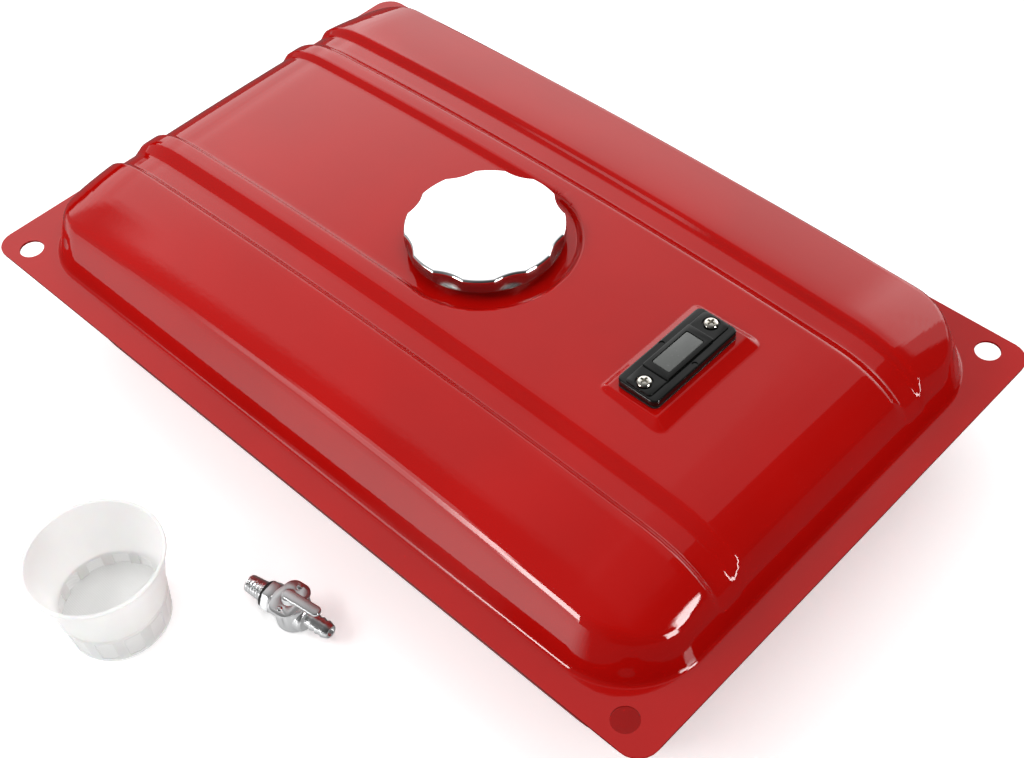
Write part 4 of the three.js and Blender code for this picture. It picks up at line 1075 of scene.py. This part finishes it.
mesh_inner = mesh_sink + mesh_thread
mesh_profile = [
    (0, mesh_floor + mesh_thread), (mesh_reach(mesh_floor, mesh_inner), mesh_floor + mesh_thread),
    (mesh_reach(mesh_high, mesh_inner), mesh_high), (mesh_reach(mesh_high, mesh_sink), mesh_high),
    (mesh_reach(mesh_low, mesh_sink), mesh_low), (mesh_reach(mesh_low, mesh_inner), mesh_low),
    (mesh_reach(mesh_floor, mesh_inner), mesh_floor), (0, mesh_floor),
]
strainer_mesh = turned("strainer_mesh_moulded_in", mesh_profile, basket_place, 144)
finished(smoothed(strainer_mesh), "strainer", "strainer_mesh", mesh_cloth)

# The strainer and the tap throw no mirror image on the tank's paint
basket.visible_glossy = strainer_mesh.visible_glossy = False

# Fuel tap.
# A small die-cast petcock lies on its side beside the strainer, its tapered thread towards it. A lever under
# a plated cover turns its seal, and a barb takes the hose. It is modelled along X and then laid in place.
die_tone = (0.6, 0.605, 0.61, 1)
die_cast = surfaced(
    "die_cast", die_tone, soot, dust=0.35, dust_scale=1300, roughness=0.34, depth=0.00004, metallic=1.0
)
tap_place = (0.0012, -half_width - 0.0303, 0.008)
tap_turn = math.radians(8.6)
tap_bore = 0.0024
tap_flats = 0.016
stem_length = 0.012
stem_pitch = 0.002
stem_root = 0.0048
stem_ridge = 0.0009
stem_crests = (0.0051, 0.00585)
washer_start = 0.0123
washer_bore = 0.0061
washer_reach = 0.0078
washer_sheet = 0.0016
hex_start = 0.0142
barrel_start = 0.0192
barb_start = 0.0412
barb_end = 0.0562
barb_reach = 0.004
barb_ridge = 0.0009
barrel_reach = 0.008
flats_cut = 0.007
chamber_x = 0.0302
chamber_reach = 0.007
boss_reach = 0.010
boss_top = 0.009
chamber_floor = 0.005
cover_low = 0.0093
cover_sheet = 0.001
cover_hole = 0.0046
cover_play = 0.00015
ear_half = 0.0112
cover_screw_y = 0.008
cover_screw_hole = 0.00105
cover_screw_shank = 0.0009
cover_screw_head = 0.0016
lever_low = 0.0072
lever_sheet = 0.0022
lever_width = 0.006
lever_reach = 0.021
lever_neck_reach = 0.004
handle_low = 0.0125


def laid_along(piece, start=0.0):
    """Turns a piece that stands on its end down along X, with that end at a start."""
    piece.rotation_euler = (0, math.pi / 2, 0)
    piece.location = (start, 0, 0)
    return settled(piece)


def on_tap(piece, stands_for, body, material):
    """Smooths a piece of the tap, lays it where the tap lies and finishes it."""
    smoothed(piece)
    piece.rotation_euler = (0, 0, tap_turn)
    piece.location = tap_place
    settled(piece)
    piece.visible_glossy = False
    return finished(piece, body, stands_for, material)


stem_rings = int(stem_length / stem_pitch)
ridge_starts = (0.0003, 0.0009, 0.0012, stem_pitch - 0.0002)
barrel_foot = barrel_start - 0.001
barrel_end = barb_start - 0.001
spindle_profile = [(tap_bore, 0), (stem_root, 0)]
for ring in range(stem_rings):
    crest = stem_crests[0] + (stem_crests[1] - stem_crests[0]) * ring / (stem_rings - 1)
    reaches = (crest - stem_ridge, crest, crest, crest - stem_ridge)
    spindle_profile += [(reach, ring * stem_pitch + start) for reach, start in zip(reaches, ridge_starts)]
spindle_profile += [(stem_root, stem_length), (stem_root, barrel_foot), (barrel_reach, barrel_foot)]
spindle_profile += [(barrel_reach, barrel_end), (barrel_reach - 0.001, barb_start), (barb_reach, barb_start)]
ridge_pitch = (barb_end - barb_start) / 4
for ridge in range(1, 4):
    start = barb_start + ridge * ridge_pitch
    spindle_profile += [(barb_reach, start), (barb_reach + barb_ridge, start)]
    spindle_profile.append((barb_reach, start + 0.8 * ridge_pitch))
spindle_profile += [(barb_reach - barb_ridge / 2, barb_end), (tap_bore, barb_end)]
tap_body = laid_along(turned("tap_body_cast", spindle_profile, steps=64))
hex_reach = tap_flats / 2 / math.cos(math.pi / 6)
hex_turns = [math.radians(30 + 60 * side) for side in range(6)]
hex_corners = [(hex_reach * math.cos(turn), hex_reach * math.sin(turn)) for turn in hex_turns]
hexagon = eased(plate("hexagon", hex_corners, 0, barrel_start - hex_start + 0.0005), 0.0004)
boss = cylinder(boss_reach, -flats_cut, boss_top, chamber_x)
ear = plate("ear", round_rectangle(0.008, 2 * ear_half, 0.0035, chamber_x), boss_top - 0.002, boss_top)
combined(tap_body, [laid_along(hexagon, hex_start), boss, ear], "UNION")
tap_cuts = [laid_along(cylinder(tap_bore, -0.001, barb_start, sides=32))]
tap_cuts.append(cuboid((barrel_start - 0.003, -0.02, -0.02), (barb_start, 0.02, -flats_cut)))
tap_cuts.append(cylinder(chamber_reach, chamber_floor, boss_top + 0.001, chamber_x))
tap_cuts += cylinder_pair(cover_screw_hole, chamber_floor, boss_top + 0.001, chamber_x, cover_screw_y)
combined(tap_body, tap_cuts)
on_tap(eased(tap_body, 0.00025, 2, 40), "tap_body", "fuel_tap", die_cast)

washer_profile = [
    (washer_bore, 0), (washer_reach, 0), (washer_reach, washer_sheet), (washer_bore, washer_sheet),
]
washer = laid_along(turned("tap_washer_ring", washer_profile, steps=64), washer_start)
on_tap(eased(washer, 0.0004, 3, 50), "tap_washer", "fuel_tap", black_rubber)

seal_floor = chamber_floor + play
tap_seal = cylinder(chamber_reach - play, seal_floor, chamber_floor + 0.0019, chamber_x)
tap_seal.name = "tap_seal_disc"
ports = []
for quarter in range(4):
    turn = quarter * math.pi / 2
    port_x = chamber_x + chamber_reach / 2 * math.cos(turn)
    ports.append(cylinder(chamber_reach / 6, 0, boss_top, port_x, chamber_reach / 2 * math.sin(turn), 24))
combined(tap_seal, ports)
on_tap(eased(tap_seal, 0.0002, 2, 50), "tap_seal", "fuel_tap", black_rubber)

cover_outline = round_rectangle(2 * barrel_reach, 2 * ear_half, 0.006, chamber_x)
cover_high = cover_low + cover_sheet
tap_cover = plate("tap_cover_stamped", cover_outline, cover_low, cover_high)
cover_holes = [cylinder(cover_hole, 0, 0.02, chamber_x, 0, 48)]
cover_holes += cylinder_pair(cover_screw_hole, 0, 0.02, chamber_x, cover_screw_y)
combined(tap_cover, cover_holes)
on_tap(eased(tap_cover, 0.0002, 2, 50), "tap_cover", "fuel_tap", zinc_steel)

lever = cylinder(chamber_reach - play, lever_low, boss_top - cover_play, chamber_x)
lever.name = "tap_lever_cast"
lever_neck = cylinder(lever_neck_reach, lever_low, handle_low + lever_sheet / 2, chamber_x, 0, 48)
handle_length = lever_reach + lever_width / 2
handle_x = chamber_x + handle_length / 2 - lever_width / 2
handle_outline = round_rectangle(handle_length, lever_width, lever_width / 2 - 0.0002, handle_x)
handle = eased(plate("handle", handle_outline, handle_low, handle_low + lever_sheet), 0.0006, 3)
combined(lever, [lever_neck, handle], "UNION")
on_tap(eased(lever, 0.00025, 2, 50), "tap_lever", "tap_handle", die_cast)

cover_seat = cover_high + cover_play
cover_screw_profile = [
    (0, seal_floor), (cover_screw_shank, seal_floor), (cover_screw_shank, cover_seat),
    (cover_screw_head, cover_seat), (cover_screw_head, cover_seat + 0.0006),
    (0.8 * cover_screw_head, cover_seat + 0.001), (0.4 * cover_screw_head, cover_seat + 0.0012),
    (0, cover_seat + 0.00125),
]
cover_cross = (0.002, 0.0004)
for number, side in ((1, -1), (2, 1)):
    screw_y = side * cover_screw_y
    cover_screw = turned(f"tap_screw_{number}_set", cover_screw_profile, (chamber_x, screw_y, 0), 32)
    combined(cover_screw, cross_cutters(cover_cross, 0.00015, chamber_x, screw_y, cover_seat + 0.0006, 0.02))
    on_tap(cover_screw, f"tap_screw_{number}", "fuel_tap", zinc_steel)
